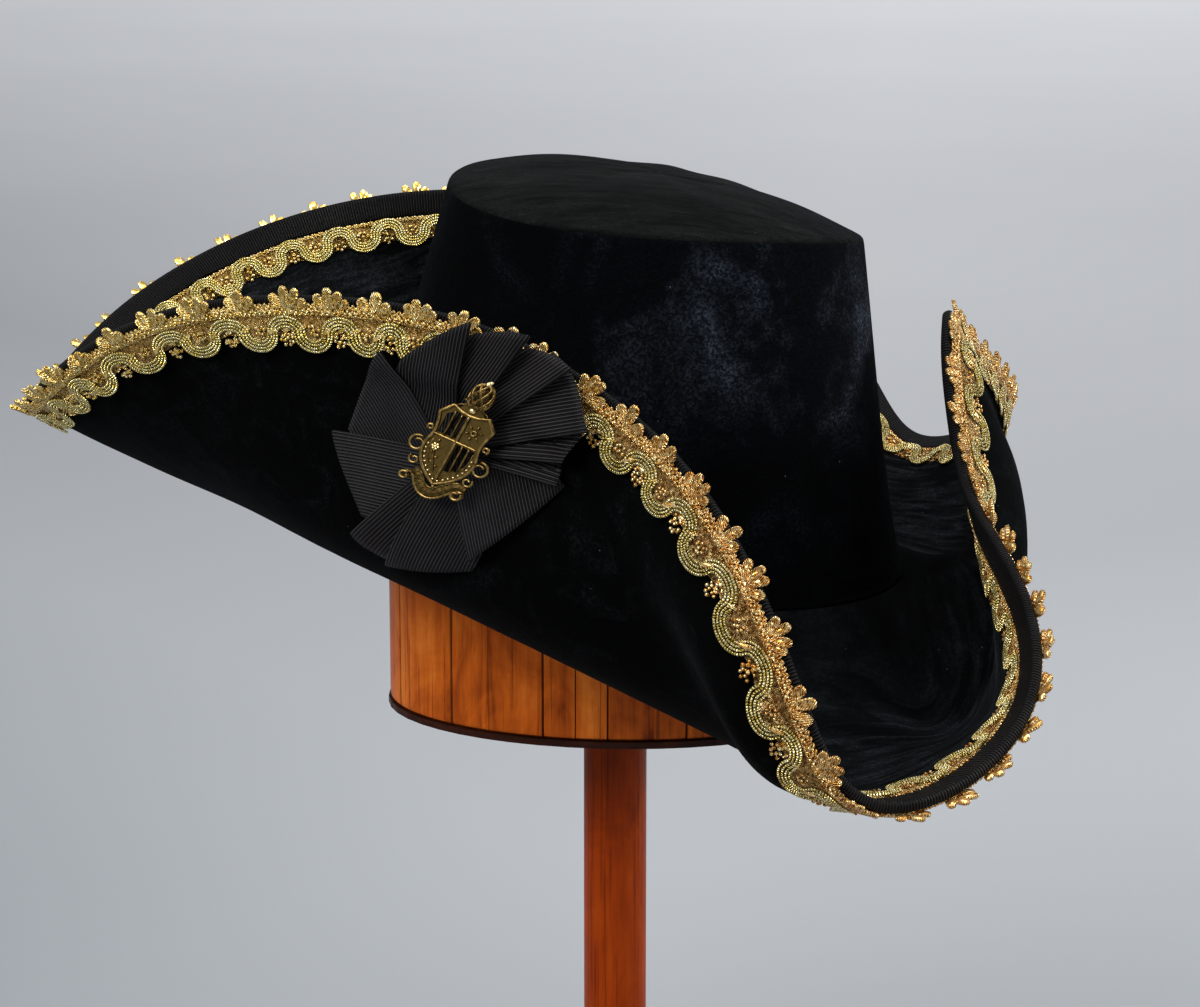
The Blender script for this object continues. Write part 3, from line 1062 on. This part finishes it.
def cockade():
    heap = Heap()
    thick = 0.5
    for k, (x0, y0, x1, y1, rise) in enumerate(PLEATS):
        p0, p1 = np.array([x0, y0]), np.array([x1, y1])
        r0, r1 = math.hypot(x0, y0), math.hypot(x1, y1)
        a0, a1 = math.atan2(x0, y0) / D2R, math.atan2(x1, y1) / D2R
        before = math.atan2(PLEATS[k - 1][2], PLEATS[k - 1][3]) / D2R
        tuck = (a0 - before) % 360 + 6
        edge = unit(p1)                            # the ribs run along the raised edge
        across = np.array([edge[1], -edge[0]])
        # a panel across: its hidden start under the panel before, the face, the round fold, the return under it
        inner = np.linspace(0, 1, 17)
        bulge = 1.0 * np.sin(math.pi * inner)
        face = p0[None] + (p1 - p0)[None] * inner[:, None]
        face = face * (1 + bulge / np.linalg.norm(face, axis=1))[:, None]
        start = [np.array([math.sin((a0 - d) * D2R), math.cos((a0 - d) * D2R)]) * r0 * f for d, f in ((tuck, 0.88), (0.45 * tuck, 0.94))]
        turn = [np.array([math.sin((a1 + d) * D2R), math.cos((a1 + d) * D2R)]) * r1 * f for d, f in ((0.7, 1.0), (0.9, 0.995), (0.2, 0.985), (-3.5, 0.95), (-9.0, 0.92))]
        px = np.concatenate([start, face, turn])
        hf = 0.62 * smooth(inner * 1.04) + 0.38 * inner ** 1.3
        hf = hf - 0.07 * smooth((inner - 0.86) / 0.14)
        hz = np.concatenate([[0.0, 0.0], hf, [0.84, 0.74, 0.62, 0.42, 0.2]])
        ns, nr = len(px), 18
        rho = np.linspace(0.07, 1, nr)
        x, y = rho[:, None] * px[None, :, 0], rho[:, None] * px[None, :, 1]
        lift = rise * (0.05 + 0.95 * rho[:, None] ** 1.3) * hz[None] + 0.2 + 0.6 * (1 - rho[:, None]) ** 2
        ang = a0 * 0.7 + k
        sway = (0.75 * rho[:, None] * np.sin(5.0 * rho[:, None] + ang) + 0.4 * rho[:, None] * np.sin(9.0 * rho[:, None] + 2 * ang + 3 * hz[None])) * np.concatenate([[0, 0], np.sin(math.pi * np.clip(inner * 0.8, 0, 1)) * 1.0, [0.5, 0.4, 0.3, 0, 0]])[None] * rho[:, None]
        base = under(x, y)
        top = c_point(x, y, base + lift + sway + thick)
        bot = c_point(x, y, base + lift + sway)
        loop = np.concatenate([top, bot[:, ::-1]], axis=1)         # rows rho, columns round the thin section
        m = 2 * ns
        flat = loop.reshape(-1, 3)
        q = grid_quads(nr, m, wrap_cols=True)
        # parallel ribs: distance square to the raised edge, measured over the folds
        step = np.concatenate([np.zeros((nr, 1)), np.cumsum(np.linalg.norm(np.diff(top, axis=1), axis=2), axis=1)], axis=1)
        flatw = x * across[0] + y * across[1]
        grow = step - step[:, 18:19]
        ru = np.where(np.arange(ns)[None] > 18, grow, flatw * 1.06)
        rv = x * edge[0] + y * edge[1]
        uvv = np.stack([np.concatenate([ru, ru[:, ::-1]], axis=1), np.concatenate([rv, rv[:, ::-1]], axis=1)], -1).reshape(-1, 2)
        caps = []
        for row in (0, nr - 1):
            b = row * m
            for c in range(ns - 1):
                f = (b + c, b + c + 1, b + m - 2 - c, b + m - 1 - c)
                caps.append(f if row else f[::-1])
        q = np.concatenate([q, np.array(caps)])
        if outward(flat - flat.mean(0), q) < 0:
            q = q[:, ::-1]
        heap.add(flat, q, uv4=uvv[q])
    # the stitched-down middle under the badge
    r = np.linspace(0, 9, 6)[:, None]
    a = np.linspace(0, 2 * math.pi, 24, endpoint=False)[None]
    x, y = r * np.sin(a), r * np.cos(a)
    top = c_point(x, y, under(x, y) + 2.2 - 0.01 * r ** 2)
    bot = c_point(x, y, under(x, y) + 0.3)[::-1]
    v = np.concatenate([top, bot])
    q = grid_quads(12, 24, wrap_cols=True)
    flat = v.reshape(-1, 3)
    if outward(flat - flat.mean(0), q) < 0:
        q = q[:, ::-1]
    heap.add(flat, q, uv4=np.stack([(x.ravel()[q % 144]), (y.ravel()[q % 144])], -1))
    return put(heap.build("cockade_ribbon", RIBBON_MAT), "ribbon", "cockade")


def brass_material(name, dark, mid, light, rough):
    m = Nodes(name)
    c = m.coords()
    geo = m.node("ShaderNodeNewGeometry")
    point = m.ramp(geo.outputs["Pointiness"], [(0.40, (0, 0, 0)), (0.49, (0.5, 0.5, 0.5)), (0.57, (1, 1, 1))])
    wear = m.noise(c, 520.0, 4.0, 0.65)
    pits = m.noise(c, 1500.0, 2.0, 0.6)
    f = m.math("ADD", m.math("MULTIPLY", point, 0.7), m.math("MULTIPLY_ADD", wear, 0.7, -0.15))
    m.set(Base_Color=m.ramp(f, [(0.15, dark), (0.5, mid), (0.9, light)]), Metallic=0.92, Roughness=m.math("MULTIPLY_ADD", wear, 0.25, rough))
    m.set(Normal=m.bump(pits, 0.35, 0.0002, m.bump(wear, 0.3, 0.0004)))
    return m.mat


BRASS = brass_material("antique_brass_worn", (0.13, 0.075, 0.018), (0.62, 0.42, 0.14), (1.0, 0.82, 0.42), 0.22)
BRASS_DARK = brass_material("antique_brass_dark", (0.008, 0.005, 0.001), (0.027, 0.018, 0.004), (0.12, 0.078, 0.020), 0.46)


def crest():
    from mathutils.geometry import tessellate_polygon
    heap, plate = Heap(), Heap()

    def slab(outer, holes, z0, z1, inset=0.0):
        loops = [outer] + holes
        pts = [Vector((x, y, 0)) for lp in loops for x, y in lp]
        tris = np.array(tessellate_polygon([[Vector((x, y, 0)) for x, y in lp] for lp in loops]))
        n = len(pts)
        flat = np.array([[p.x, p.y] for p in pts])
        v = np.concatenate([np.column_stack([flat, np.full(n, z1)]), np.column_stack([flat, np.full(n, z0)])])
        e1 = flat[tris[:, 1]] - flat[tris[:, 0]]
        e2 = flat[tris[:, 2]] - flat[tris[:, 0]]
        cw = (e1[:, 0] * e2[:, 1] - e1[:, 1] * e2[:, 0]) < 0
        tris[cw] = tris[cw][:, ::-1]
        walls, b = [], 0
        for h, lp in enumerate(loops):
            m = len(lp)
            area2 = sum(lp[i][0] * lp[(i + 1) % m][1] - lp[(i + 1) % m][0] * lp[i][1] for i in range(m))
            ccw = (area2 > 0) if h == 0 else (area2 < 0)
            for i in range(m):
                j = (i + 1) % m
                f = (b + i, n + b + i, n + b + j, b + j)
                walls.append(f if ccw else f[::-1])
            b += m
        plate.add(v, np.array(walls), np.concatenate([tris, tris[:, ::-1] + n]))

    def wire(path, r, closed=False, k=6, z=None):
        p = np.array([(q[0], q[1], q[2] if len(q) > 2 else z) for q in path], float)
        tan = (np.roll(p, -1, 0) - np.roll(p, 1, 0)) if closed else np.gradient(p, axis=0)
        tan = unit(tan)
        up = np.tile([0, 0, 1.0], (len(p), 1))
        side = unit(np.cross(tan, up))
        heap.tube(p, side, unit(np.cross(side, tan)), r, k=k, closed=closed)

    def ball(x, y, z, rx, ry=None, rz=None, dark=False):
        ry, rz = ry or rx, rz or rx
        eye = np.eye(3)
        balls(plate if dark else heap, np.array([[x, y, z]], float), eye[:1], eye[1:2], eye[2:3], np.array([[rx, ry, rz]]))

    def resample(pts, n):
        p = np.array(pts, float)
        d = np.concatenate([[0], np.cumsum(np.linalg.norm(np.diff(p, axis=0), axis=1))])
        # a smooth curve through the points
        s = np.linspace(0, d[-1], n)
        out = []
        for c in range(p.shape[1]):
            m = np.gradient(p[:, c], d)
            i = np.clip(np.searchsorted(d, s, side="right") - 1, 0, len(d) - 2)
            h = d[i + 1] - d[i]
            t = (s - d[i]) / h
            out.append((2 * t**3 - 3 * t**2 + 1) * p[i, c] + (t**3 - 2 * t**2 + t) * h * m[i] + (-2 * t**3 + 3 * t**2) * p[i + 1, c] + (t**3 - t**2) * h * m[i + 1])
        return np.stack(out, -1)

    half = [(0, 10.8), (3.4, 11.3), (6.4, 12.6), (9.9, 8.4), (8.7, 4.5), (8.3, 0), (9.3, -4), (8.9, -8.5), (6.2, -13), (3, -15.8), (0, -17.8)]
    sides = []
    for sgn in (1, -1):
        top = resample(half[:3], 6)
        one = resample([half[3], half[4], half[5], half[6], half[7], half[8], half[9], half[10]], 30)
        seg = np.concatenate([top, one])
        sides.append(seg * [sgn, 1])
    outline = [tuple(p) for p in sides[0]] + [tuple(p) for p in sides[1][::-1][1:-1]]
    slots = [(-7.3, -5.2, 0.8, 8.2, 10.0), (-4.5, -2.7, 0.8, 10.3, 10.1), (-2.0, -0.75, 0.8, 9.9, 9.7),
             (0.75, 2.5, -11.6, -0.8, -0.8), (3.1, 4.9, -10.4, -0.8, -0.8), (5.5, 7.2, -8.0, -0.8, -0.8)]
    holes = [[(x0, y0), (x1, y0), (x1, y2), (x0, y1)] for x0, x1, y0, y1, y2 in slots]
    slab(outline, holes, 0.3, 1.0)
    rim = np.array(outline)
    wire(np.column_stack([rim * 0.985, np.full(len(rim), 1.3)]), 0.56, closed=True)
    wire(np.column_stack([np.zeros(20), np.linspace(10.6, -17.2, 20), np.full(20, 1.3)]), 0.5)
    wire(np.column_stack([np.linspace(-8.2, 8.2, 14), np.zeros(14), np.full(14, 1.3)]), 0.46)
    for x, y0, y1 in ((-4.85, 0.4, 10.4), (-2.35, 0.4, 9.9), (2.8, -11.2, -0.4), (5.2, -10.0, -0.4)):
        wire(np.column_stack([np.full(8, x), np.linspace(y0, y1, 8), np.full(8, 1.2)]), 0.36, k=5)
    # upper right: a ring with six rays
    a = np.linspace(0, 2 * math.pi, 14, endpoint=False)
    wire(np.column_stack([3.9 + 0.9 * np.cos(a), 5.4 + 0.9 * np.sin(a), np.full(14, 1.35)]), 0.34, closed=True, k=5)
    for k in range(6):
        b = 2 * math.pi * k / 6 + 0.3
        c, s = math.cos(b), math.sin(b)
        wire([(3.9 + r * c, 5.4 + r * s, 1.3) for r in (1.7, 2.4, 3.1)], np.array([0.3, 0.42, 0.2]), k=5)
    # lower left: a flower on its stem with leaves
    for k in range(6):
        b = 2 * math.pi * k / 6
        ball(-5.3 + 1.0 * math.cos(b), -4.4 + 1.0 * math.sin(b), 1.35, 0.5, 0.5, 0.45)
    ball(-5.3, -4.4, 1.5, 0.55)
    wire(resample([(-5.3, -2.9), (-5.2, -2.0), (-4.9, -1.3)], 5), np.array([0.36, 0.4, 0.36, 0.28, 0.2]), z=1.3, k=5)
    wire(resample([(-5.2, -5.5), (-4.6, -8.0), (-3.4, -10.6), (-2.2, -13.0)], 12), 0.3, z=1.3, k=5)
    for x, y, dx, dy in ((-4.8, -7.4, -1.5, 0.9), (-4.3, -8.6, 1.5, 0.8), (-3.6, -10.4, -1.6, 0.5), (-2.9, -11.6, 1.3, 0.6)):
        wire([(x, y, 1.1), (x + dx * 0.5, y + dy * 0.7, 1.25), (x + dx, y + dy, 1.1)], np.array([0.26, 0.44, 0.18]), k=5)
    # beaded lower border
    low = sides[0][sides[0][:, 1] < -3.6]
    d = np.concatenate([[0], np.cumsum(np.linalg.norm(np.diff(low, axis=0), axis=1))])
    for sgn in (1, -1):
        for w in np.linspace(0.6, d[-1] - 1.1, 9):
            x, y = np.interp(w, d, low[:, 0]), np.interp(w, d, low[:, 1])
            c = np.array([x, y]) * [1, 1] - unit(np.array([x, y + 4.0])) * 1.35
            ball(sgn * c[0], c[1], 1.2, 0.4, 0.4, 0.42)
        inner = np.array([(sgn * (x - 2.1 * x / 9.3), y + 1.9) for x, y in low[::2]])
        wire(np.column_stack([inner, np.full(len(inner), 1.02)]), 0.2, k=5)
    # collar with its jewel, and the little curls
    slab([(-4.6, 11.2), (-2.2, 10.9), (0, 10.6), (2.2, 10.9), (4.6, 11.2), (3.9, 12.9), (2.5, 14.5), (0, 15.0), (-2.5, 14.5), (-3.9, 12.9)][::-1], [], 0.3, 1.25)
    ball(0.0, 12.9, 1.6, 1.25, 1.05, 0.9)
    for sgn in (1, -1):
        wire(resample([(sgn * 5.6, 12.6), (sgn * 4.6, 13.4), (sgn * 3.3, 13.9), (sgn * 2.5, 14.9), (sgn * 3.2, 15.9), (sgn * 4.2, 15.5)], 14), np.linspace(0.22, 0.42, 14), z=1.4, k=5)
    # open pine cone: crossing spiral bars over a darker core
    cy = 18.9
    for sgn in (1, -1):
        for k in range(6):
            t = np.linspace(0.16, 0.97, 16)
            th = math.pi * t
            ph = 2 * math.pi * k / 7 + sgn * 2.6 * t
            r = np.sin(th) ** 0.8
            wire(np.column_stack([0.9 + 3.9 * r * np.cos(ph), cy - 5.0 * np.cos(th), 2.8 + 2.2 * r * np.sin(ph)]), 0.44, k=5)
    wire(resample([(-2.3, 15.0), (0, 14.7), (2.3, 15.0)], 8), 0.5, z=2.3)
    ball(0.9, cy, 1.9, 2.2, 3.6, 0.7, dark=True)
    ball(1.0, cy + 5.2, 2.6, 1.1, 1.2, 1.0)
    ball(1.5, cy + 6.2, 2.6, 0.8, 0.55, 0.75)
    # side scrolls: centre, radius, start and end angle
    for cx, cy2, r, a0, a1, inn in ((10.0, 1.3, 1.15, -60, 330, 0.35), (11.4, -6.0, 2.9, 110, -320, 0.45), (9.8, -11.9, 1.75, 40, -330, 0.35)):
        for sgn in (1, -1):
            a = np.linspace(a0, a1, 30) * D2R
            rr = np.linspace(r, r * inn, 30) if cx > 0 else r
            rr = r * (1 - (1 - inn) * np.linspace(0, 1, 30) ** 1.6)
            x, y = cx + rr * np.cos(a), cy2 + rr * np.sin(a)
            wire(np.column_stack([sgn * x, y, np.full(30, 0.95)]), np.concatenate([np.linspace(0.5, 0.42, 26), [0.42, 0.5, 0.55, 0.45]]), k=6)
    # plain ribbon with rolled ends and a lightly hammered face
    lower = resample([(-9.0, -16.5), (-7.2, -17.8), (-5.6, -20.4), (-2.8, -22.6), (0.4, -23.1), (3.4, -21.6), (5.9, -18.9), (8.2, -16.6), (10.6, -16.3)], 34)
    tan = unit(np.gradient(lower, axis=0))
    nrm = np.column_stack([-tan[:, 1], tan[:, 0]])
    wide = 3.9 * np.sin(np.clip(np.linspace(0.12, 0.9, 34) * math.pi, 0, math.pi)) ** 0.35
    upper = lower + nrm * wide[:, None]
    rows = []
    for f, z in ((0, 0.5), (0.12, 1.0), (0.5, 1.25), (0.88, 1.0), (1, 0.5)):
        rows.append(np.column_stack([lower + (upper - lower) * f, np.full(34, z) + 0.12 * np.sin(np.arange(34) * 1.9 + 4 * f)]))
    for f in (1, 0):
        rows.append(np.column_stack([lower + (upper - lower) * f, np.full(34, 0.3)]))
    v = np.stack(rows)
    q = grid_quads(7, 34, wrap_rows=True)
    flat = v.reshape(-1, 3)
    if outward(flat - flat.mean(0), q) < 0:
        q = q[:, ::-1]
    plate.add(flat, q)
    wire(np.column_stack([lower, np.full(34, 1.15)]), 0.45)
    wire(np.column_stack([upper[2:-2], np.full(30, 1.0)]), 0.32, k=5)
    for cx, cy3, r, a0, a1 in ((-9.7, -18.3, 1.75, 60, 400), (8.9, -17.7, 2.0, 40, -300)):
        a = np.linspace(a0, a1, 26) * D2R
        rr = r * np.linspace(1.0, 0.55, 26)
        for z in (0.9, 1.7, 2.5):
            wire(np.column_stack([cx + rr * np.cos(a), cy3 + rr * np.sin(a) * 0.85, np.full(26, z)]), 0.48)
    wire([(0.2, -17.6, 1.0), (0.6, -18.6, 1.1), (1.0, -19.6, 1.1)], 0.7)
    # to the cockade's plane: it lies on the highest folds under it
    lean = 23.5 * D2R
    up = C_UP * math.cos(lean) + C_RIGHT * math.sin(lean)
    right = unit(unit(np.cross(up, C_OUT)) + 0.24 * up)
    a = np.linspace(0, 2 * math.pi, 24)
    lift = max(float(under(CREST_X + r * np.sin(a), CREST_Y + r * np.cos(a)).max()) + 1.9 + 2.2 * r / 46 for r in (0.1, 8, 16, 24))
    place = c_point(CREST_X, CREST_Y, lift + 0.1)
    for h in (heap, plate):
        for k, v in enumerate(h.v):
            h.v[k] = place + CREST_WIDE * v[:, :1] * right + v[:, 1:2] * up + v[:, 2:] * C_OUT
    put(plate.build("crest_plate", BRASS_DARK, smooth_faces=False), "antique_brass")
    return put(heap.build("crest_relief", BRASS), "antique_brass", "crest")


CREST_X, CREST_Y, CREST_WIDE = 6.8, 6.2, 1.1
cockade()
crest()

# ------------------------------------------------------------------ stand
WOOD, _c = wood_material("varnished_orange_wood", (0.13, 0.014, 0.0008), (0.50, 0.096, 0.006), (0.80, 0.225, 0.026), staves=True)
POST_WOOD, _c = wood_material("varnished_post_wood", (0.16, 0.016, 0.0002), (0.30, 0.036, 0.0004), (0.44, 0.068, 0.002), gloss=0.3)
FOOT_WOOD, _c = wood_material("varnished_foot_wood", (0.13, 0.012, 0.001), (0.30, 0.034, 0.003), (0.44, 0.07, 0.008), along="y", gloss=0.3)
RIM_WOOD, _c = wood_material("dark_rim_wood", (0.010, 0.003, 0.002), (0.030, 0.008, 0.004), (0.07, 0.02, 0.009), along="y", gloss=0.3)
for node, mat in (("stand_post", POST_WOOD), ("stand_base", FOOT_WOOD), ("block_rim", RIM_WOOD)):
    ob = frame["nodes"][node]
    for slot in ob.material_slots:
        slot.material = mat.mat


def stave_block():
    """The oval hat block: upright staves with open joints between them."""
    box = np.array([list(frame["nodes"]["hat_block"].matrix_world @ Vector(c)) for c in frame["nodes"]["hat_block"].bound_box]) * 1000
    lo, hi = box.min(0), box.max(0)
    mid, half = (lo + hi) / 2, (hi - lo) / 2
    # joints where the photo shows them on the side it sees, evenly beyond
    seen = np.array([-80.0, -57.1, -20.8, -8.7, 3.2, 32.3, 58.0])
    a = list(np.arcsin(np.clip(seen / half[1], -1, 1)))
    rest = list(np.linspace(a[-1], a[0] + 2 * math.pi, 12)[1:-1])
    ends = np.array(a + rest + [a[0] + 2 * math.pi])
    f = np.array([0.0, 0.007, 0.016, 0.035, 0.15, 0.3, 0.45, 0.55, 0.7, 0.85, 0.965, 0.984, 0.993, 1.0])
    depth = np.array([1.0, 0.6, 0.15, 0.0, 0, 0, 0, 0, 0, 0, 0.0, 0.15, 0.6, 1.0])
    ang, dep, us = [], [], []
    for k in range(len(ends) - 1):
        ang += list(ends[k] + (ends[k + 1] - ends[k]) * f)
        dep += list(depth + 0.12 * math.sin(5.1 * k))
        us += list(k + 0.001 + 0.998 * f)
    ang, dep, us = np.array(ang), np.maximum(np.array(dep), 0), np.array(us)
    n = len(ang)
    prof = [(0.0, lo[2], 8.0), (0.0, lo[2], 1.2), (0.0, lo[2] + 0.8, 0.2), (0.0, lo[2] + 1.8, 0.0)]
    prof += [(0.0, z, 0.0) for z in np.linspace(lo[2] + 12, hi[2] - 6, 8)]
    prof += [(0.0, hi[2] - 1.5, 0.6), (0.0, hi[2] - 0.1, 2.5), (0.0, hi[2] - 0.1, 9.0)]
    v = []
    for _, z, inset in prof:
        d = dep + inset + 0.35
        v.append(np.stack([mid[0] + (half[0] - d) * np.cos(ang), mid[1] + (half[1] - d) * np.sin(ang), np.full(n, z)], -1))
    v = np.stack(v)
    rows = len(prof)
    q = grid_quads(rows, n, wrap_cols=True)
    i, j = np.meshgrid(np.arange(rows - 1), np.arange(n), indexing="ij")
    j2 = (j + 1) % n
    uv = np.stack([np.stack([us[j], 0.0 * i], -1), np.stack([us[j2], 0.0 * i], -1), np.stack([us[j2], 1.0 + 0 * i], -1), np.stack([us[j], 1.0 + 0 * i], -1)], -2).reshape(-1, 4, 2)
    flat = np.concatenate([v.reshape(-1, 3), [[mid[0], mid[1], lo[2]], [mid[0], mid[1], hi[2] - 0.1]]])
    k = np.arange(n)
    t = np.concatenate([np.stack([np.full(n, rows * n), (k + 1) % n, k], -1), np.stack([np.full(n, rows * n + 1), (rows - 1) * n + k, (rows - 1) * n + (k + 1) % n], -1)])
    if outward(flat - flat.mean(0), q, t) < 0:
        q, t, uv = q[:, ::-1], t[:, ::-1], uv[:, ::-1]
    uv3 = np.full((len(t), 3, 2), 0.5)
    ob = make("block_staves", flat, q, WOOD.mat, tris=t, uv4=uv, uv3=uv3, hat=False, smooth_faces=False)
    return put(ob, "varnished_wood", "hat_block")


stave_block()

# ------------------------------------------------------------------ floor, light, camera
def floor_material():
    m = Nodes("pale_floor")
    c = m.coords()
    sep = m.node("ShaderNodeSeparateXYZ", Vector=c)
    away = m.math("MULTIPLY", sep.outputs[0], -1.0)
    soft = m.noise(c, 0.9, 2.0, 0.5)
    fine = m.noise(c, 120.0, 2.0, 0.5)
    g = m.math("DIVIDE", 1.0, m.math("MULTIPLY_ADD", m.math("MAXIMUM", away, -0.5), 0.667, 1.0))
    side = m.math("MULTIPLY", sep.outputs[1], g)
    beside = m.math("ADD", m.math("MULTIPLY", m.math("MINIMUM", side, 0.0), 0.40), m.math("MULTIPLY", m.math("MAXIMUM", side, 0.0), -0.1))
    far = m.math("POWER", m.math("MAXIMUM", m.math("SUBTRACT", 1.0, g), 0.0), 2.2)
    near = m.ramp(m.math("ADD", m.math("MULTIPLY_ADD", far, 1.0, 0.21), m.math("MULTIPLY_ADD", soft, 0.06, beside)),
                  [(0.0, FLOOR_TONES[0]), (0.26, FLOOR_TONES[1]), (0.42, FLOOR_TONES[2]), (0.9, FLOOR_TONES[3])])
    m.set(Base_Color=near, Roughness=m.math("MULTIPLY_ADD", fine, 0.1, 0.85))
    m.bsdf.inputs["Specular IOR Level"].default_value = 0.1
    return m.mat


FLOOR_TONES = [(0.165, 0.182, 0.204), (0.340, 0.353, 0.370), (0.373, 0.38, 0.395), (0.97, 0.967, 0.975)]
me = bpy.data.meshes.new("floor")
me.from_pydata([(-40, -40, -0.0005), (40, -40, -0.0005), (40, 40, -0.0005), (-40, 40, -0.0005)], [], [(0, 1, 2, 3)])
floor = bpy.data.objects.new("floor", me)
me.materials.append(floor_material())
bpy.context.scene.collection.objects.link(floor)


def aim(ob, target):
    ob.rotation_euler = (Vector(target) - ob.location).to_track_quat("-Z", "Y").to_euler()


cam_data = bpy.data.cameras.new("camera")
cam = bpy.data.objects.new("camera", cam_data)
bpy.context.scene.collection.objects.link(cam)
az, el = CAM_AZ * D2R, CAM_EL * D2R
back = Vector((math.sin(az) * math.cos(el), -math.cos(az) * math.cos(el), math.sin(el)))
target = Vector(CAM_TARGET) * 0.001
cam.location = target + back * (CAM_D * 0.001)
aim(cam, target)
cam_data.sensor_width = 36
cam_data.lens = 36 * CAM_F / 1200
cam_data.clip_end = 200
bpy.context.scene.camera = cam


def area(name, loc, size, power, color, look=(0, 0, 0.32)):
    d = bpy.data.lights.new(name, "AREA")
    d.shape = "RECTANGLE"
    d.size, d.size_y = size
    d.energy = power
    d.color = color
    ob = bpy.data.objects.new(name, d)
    ob.location = loc
    aim(ob, look)
    bpy.context.scene.collection.objects.link(ob)
    return ob


# the camera looks along -X; its left is -Y
LAMPS = [38, 20, 16, 1.9, 15]
area("key_left", (1.6, -1.5, 1.7), (0.9, 0.9), LAMPS[0], (1.0, 0.97, 0.93))
area("fill_right", (1.1, 2.0, 1.3), (0.8, 1.0), LAMPS[1], (0.94, 0.97, 1.0))
area("edge_right", (-0.55, 1.5, 1.05), (0.7, 0.7), LAMPS[4], (1.0, 0.97, 0.90))
area("top_soft", (-0.5, 0.3, 2.2), (1.4, 1.4), LAMPS[2], (0.95, 0.97, 1.0))
sun_data = bpy.data.lights.new("soft_sky", "SUN")
sun_data.energy = LAMPS[3]
sun_data.angle = 70 * D2R
sun_data.color = (0.97, 0.985, 1.0)
sun = bpy.data.objects.new("soft_sky", sun_data)
sun.location = (1.0, -1.0, 3.0)
aim(sun, (0.2, 0.1, 0.0))
bpy.context.scene.collection.objects.link(sun)

w = bpy.data.worlds.new("studio")
w.use_nodes = True
w.node_tree.nodes["Background"].inputs[0].default_value = (0.80, 0.87, 0.96, 1)
w.node_tree.nodes["Background"].inputs[1].default_value = 0.2
bpy.context.scene.world = w
bpy.context.scene.view_settings.view_transform = "Standard"
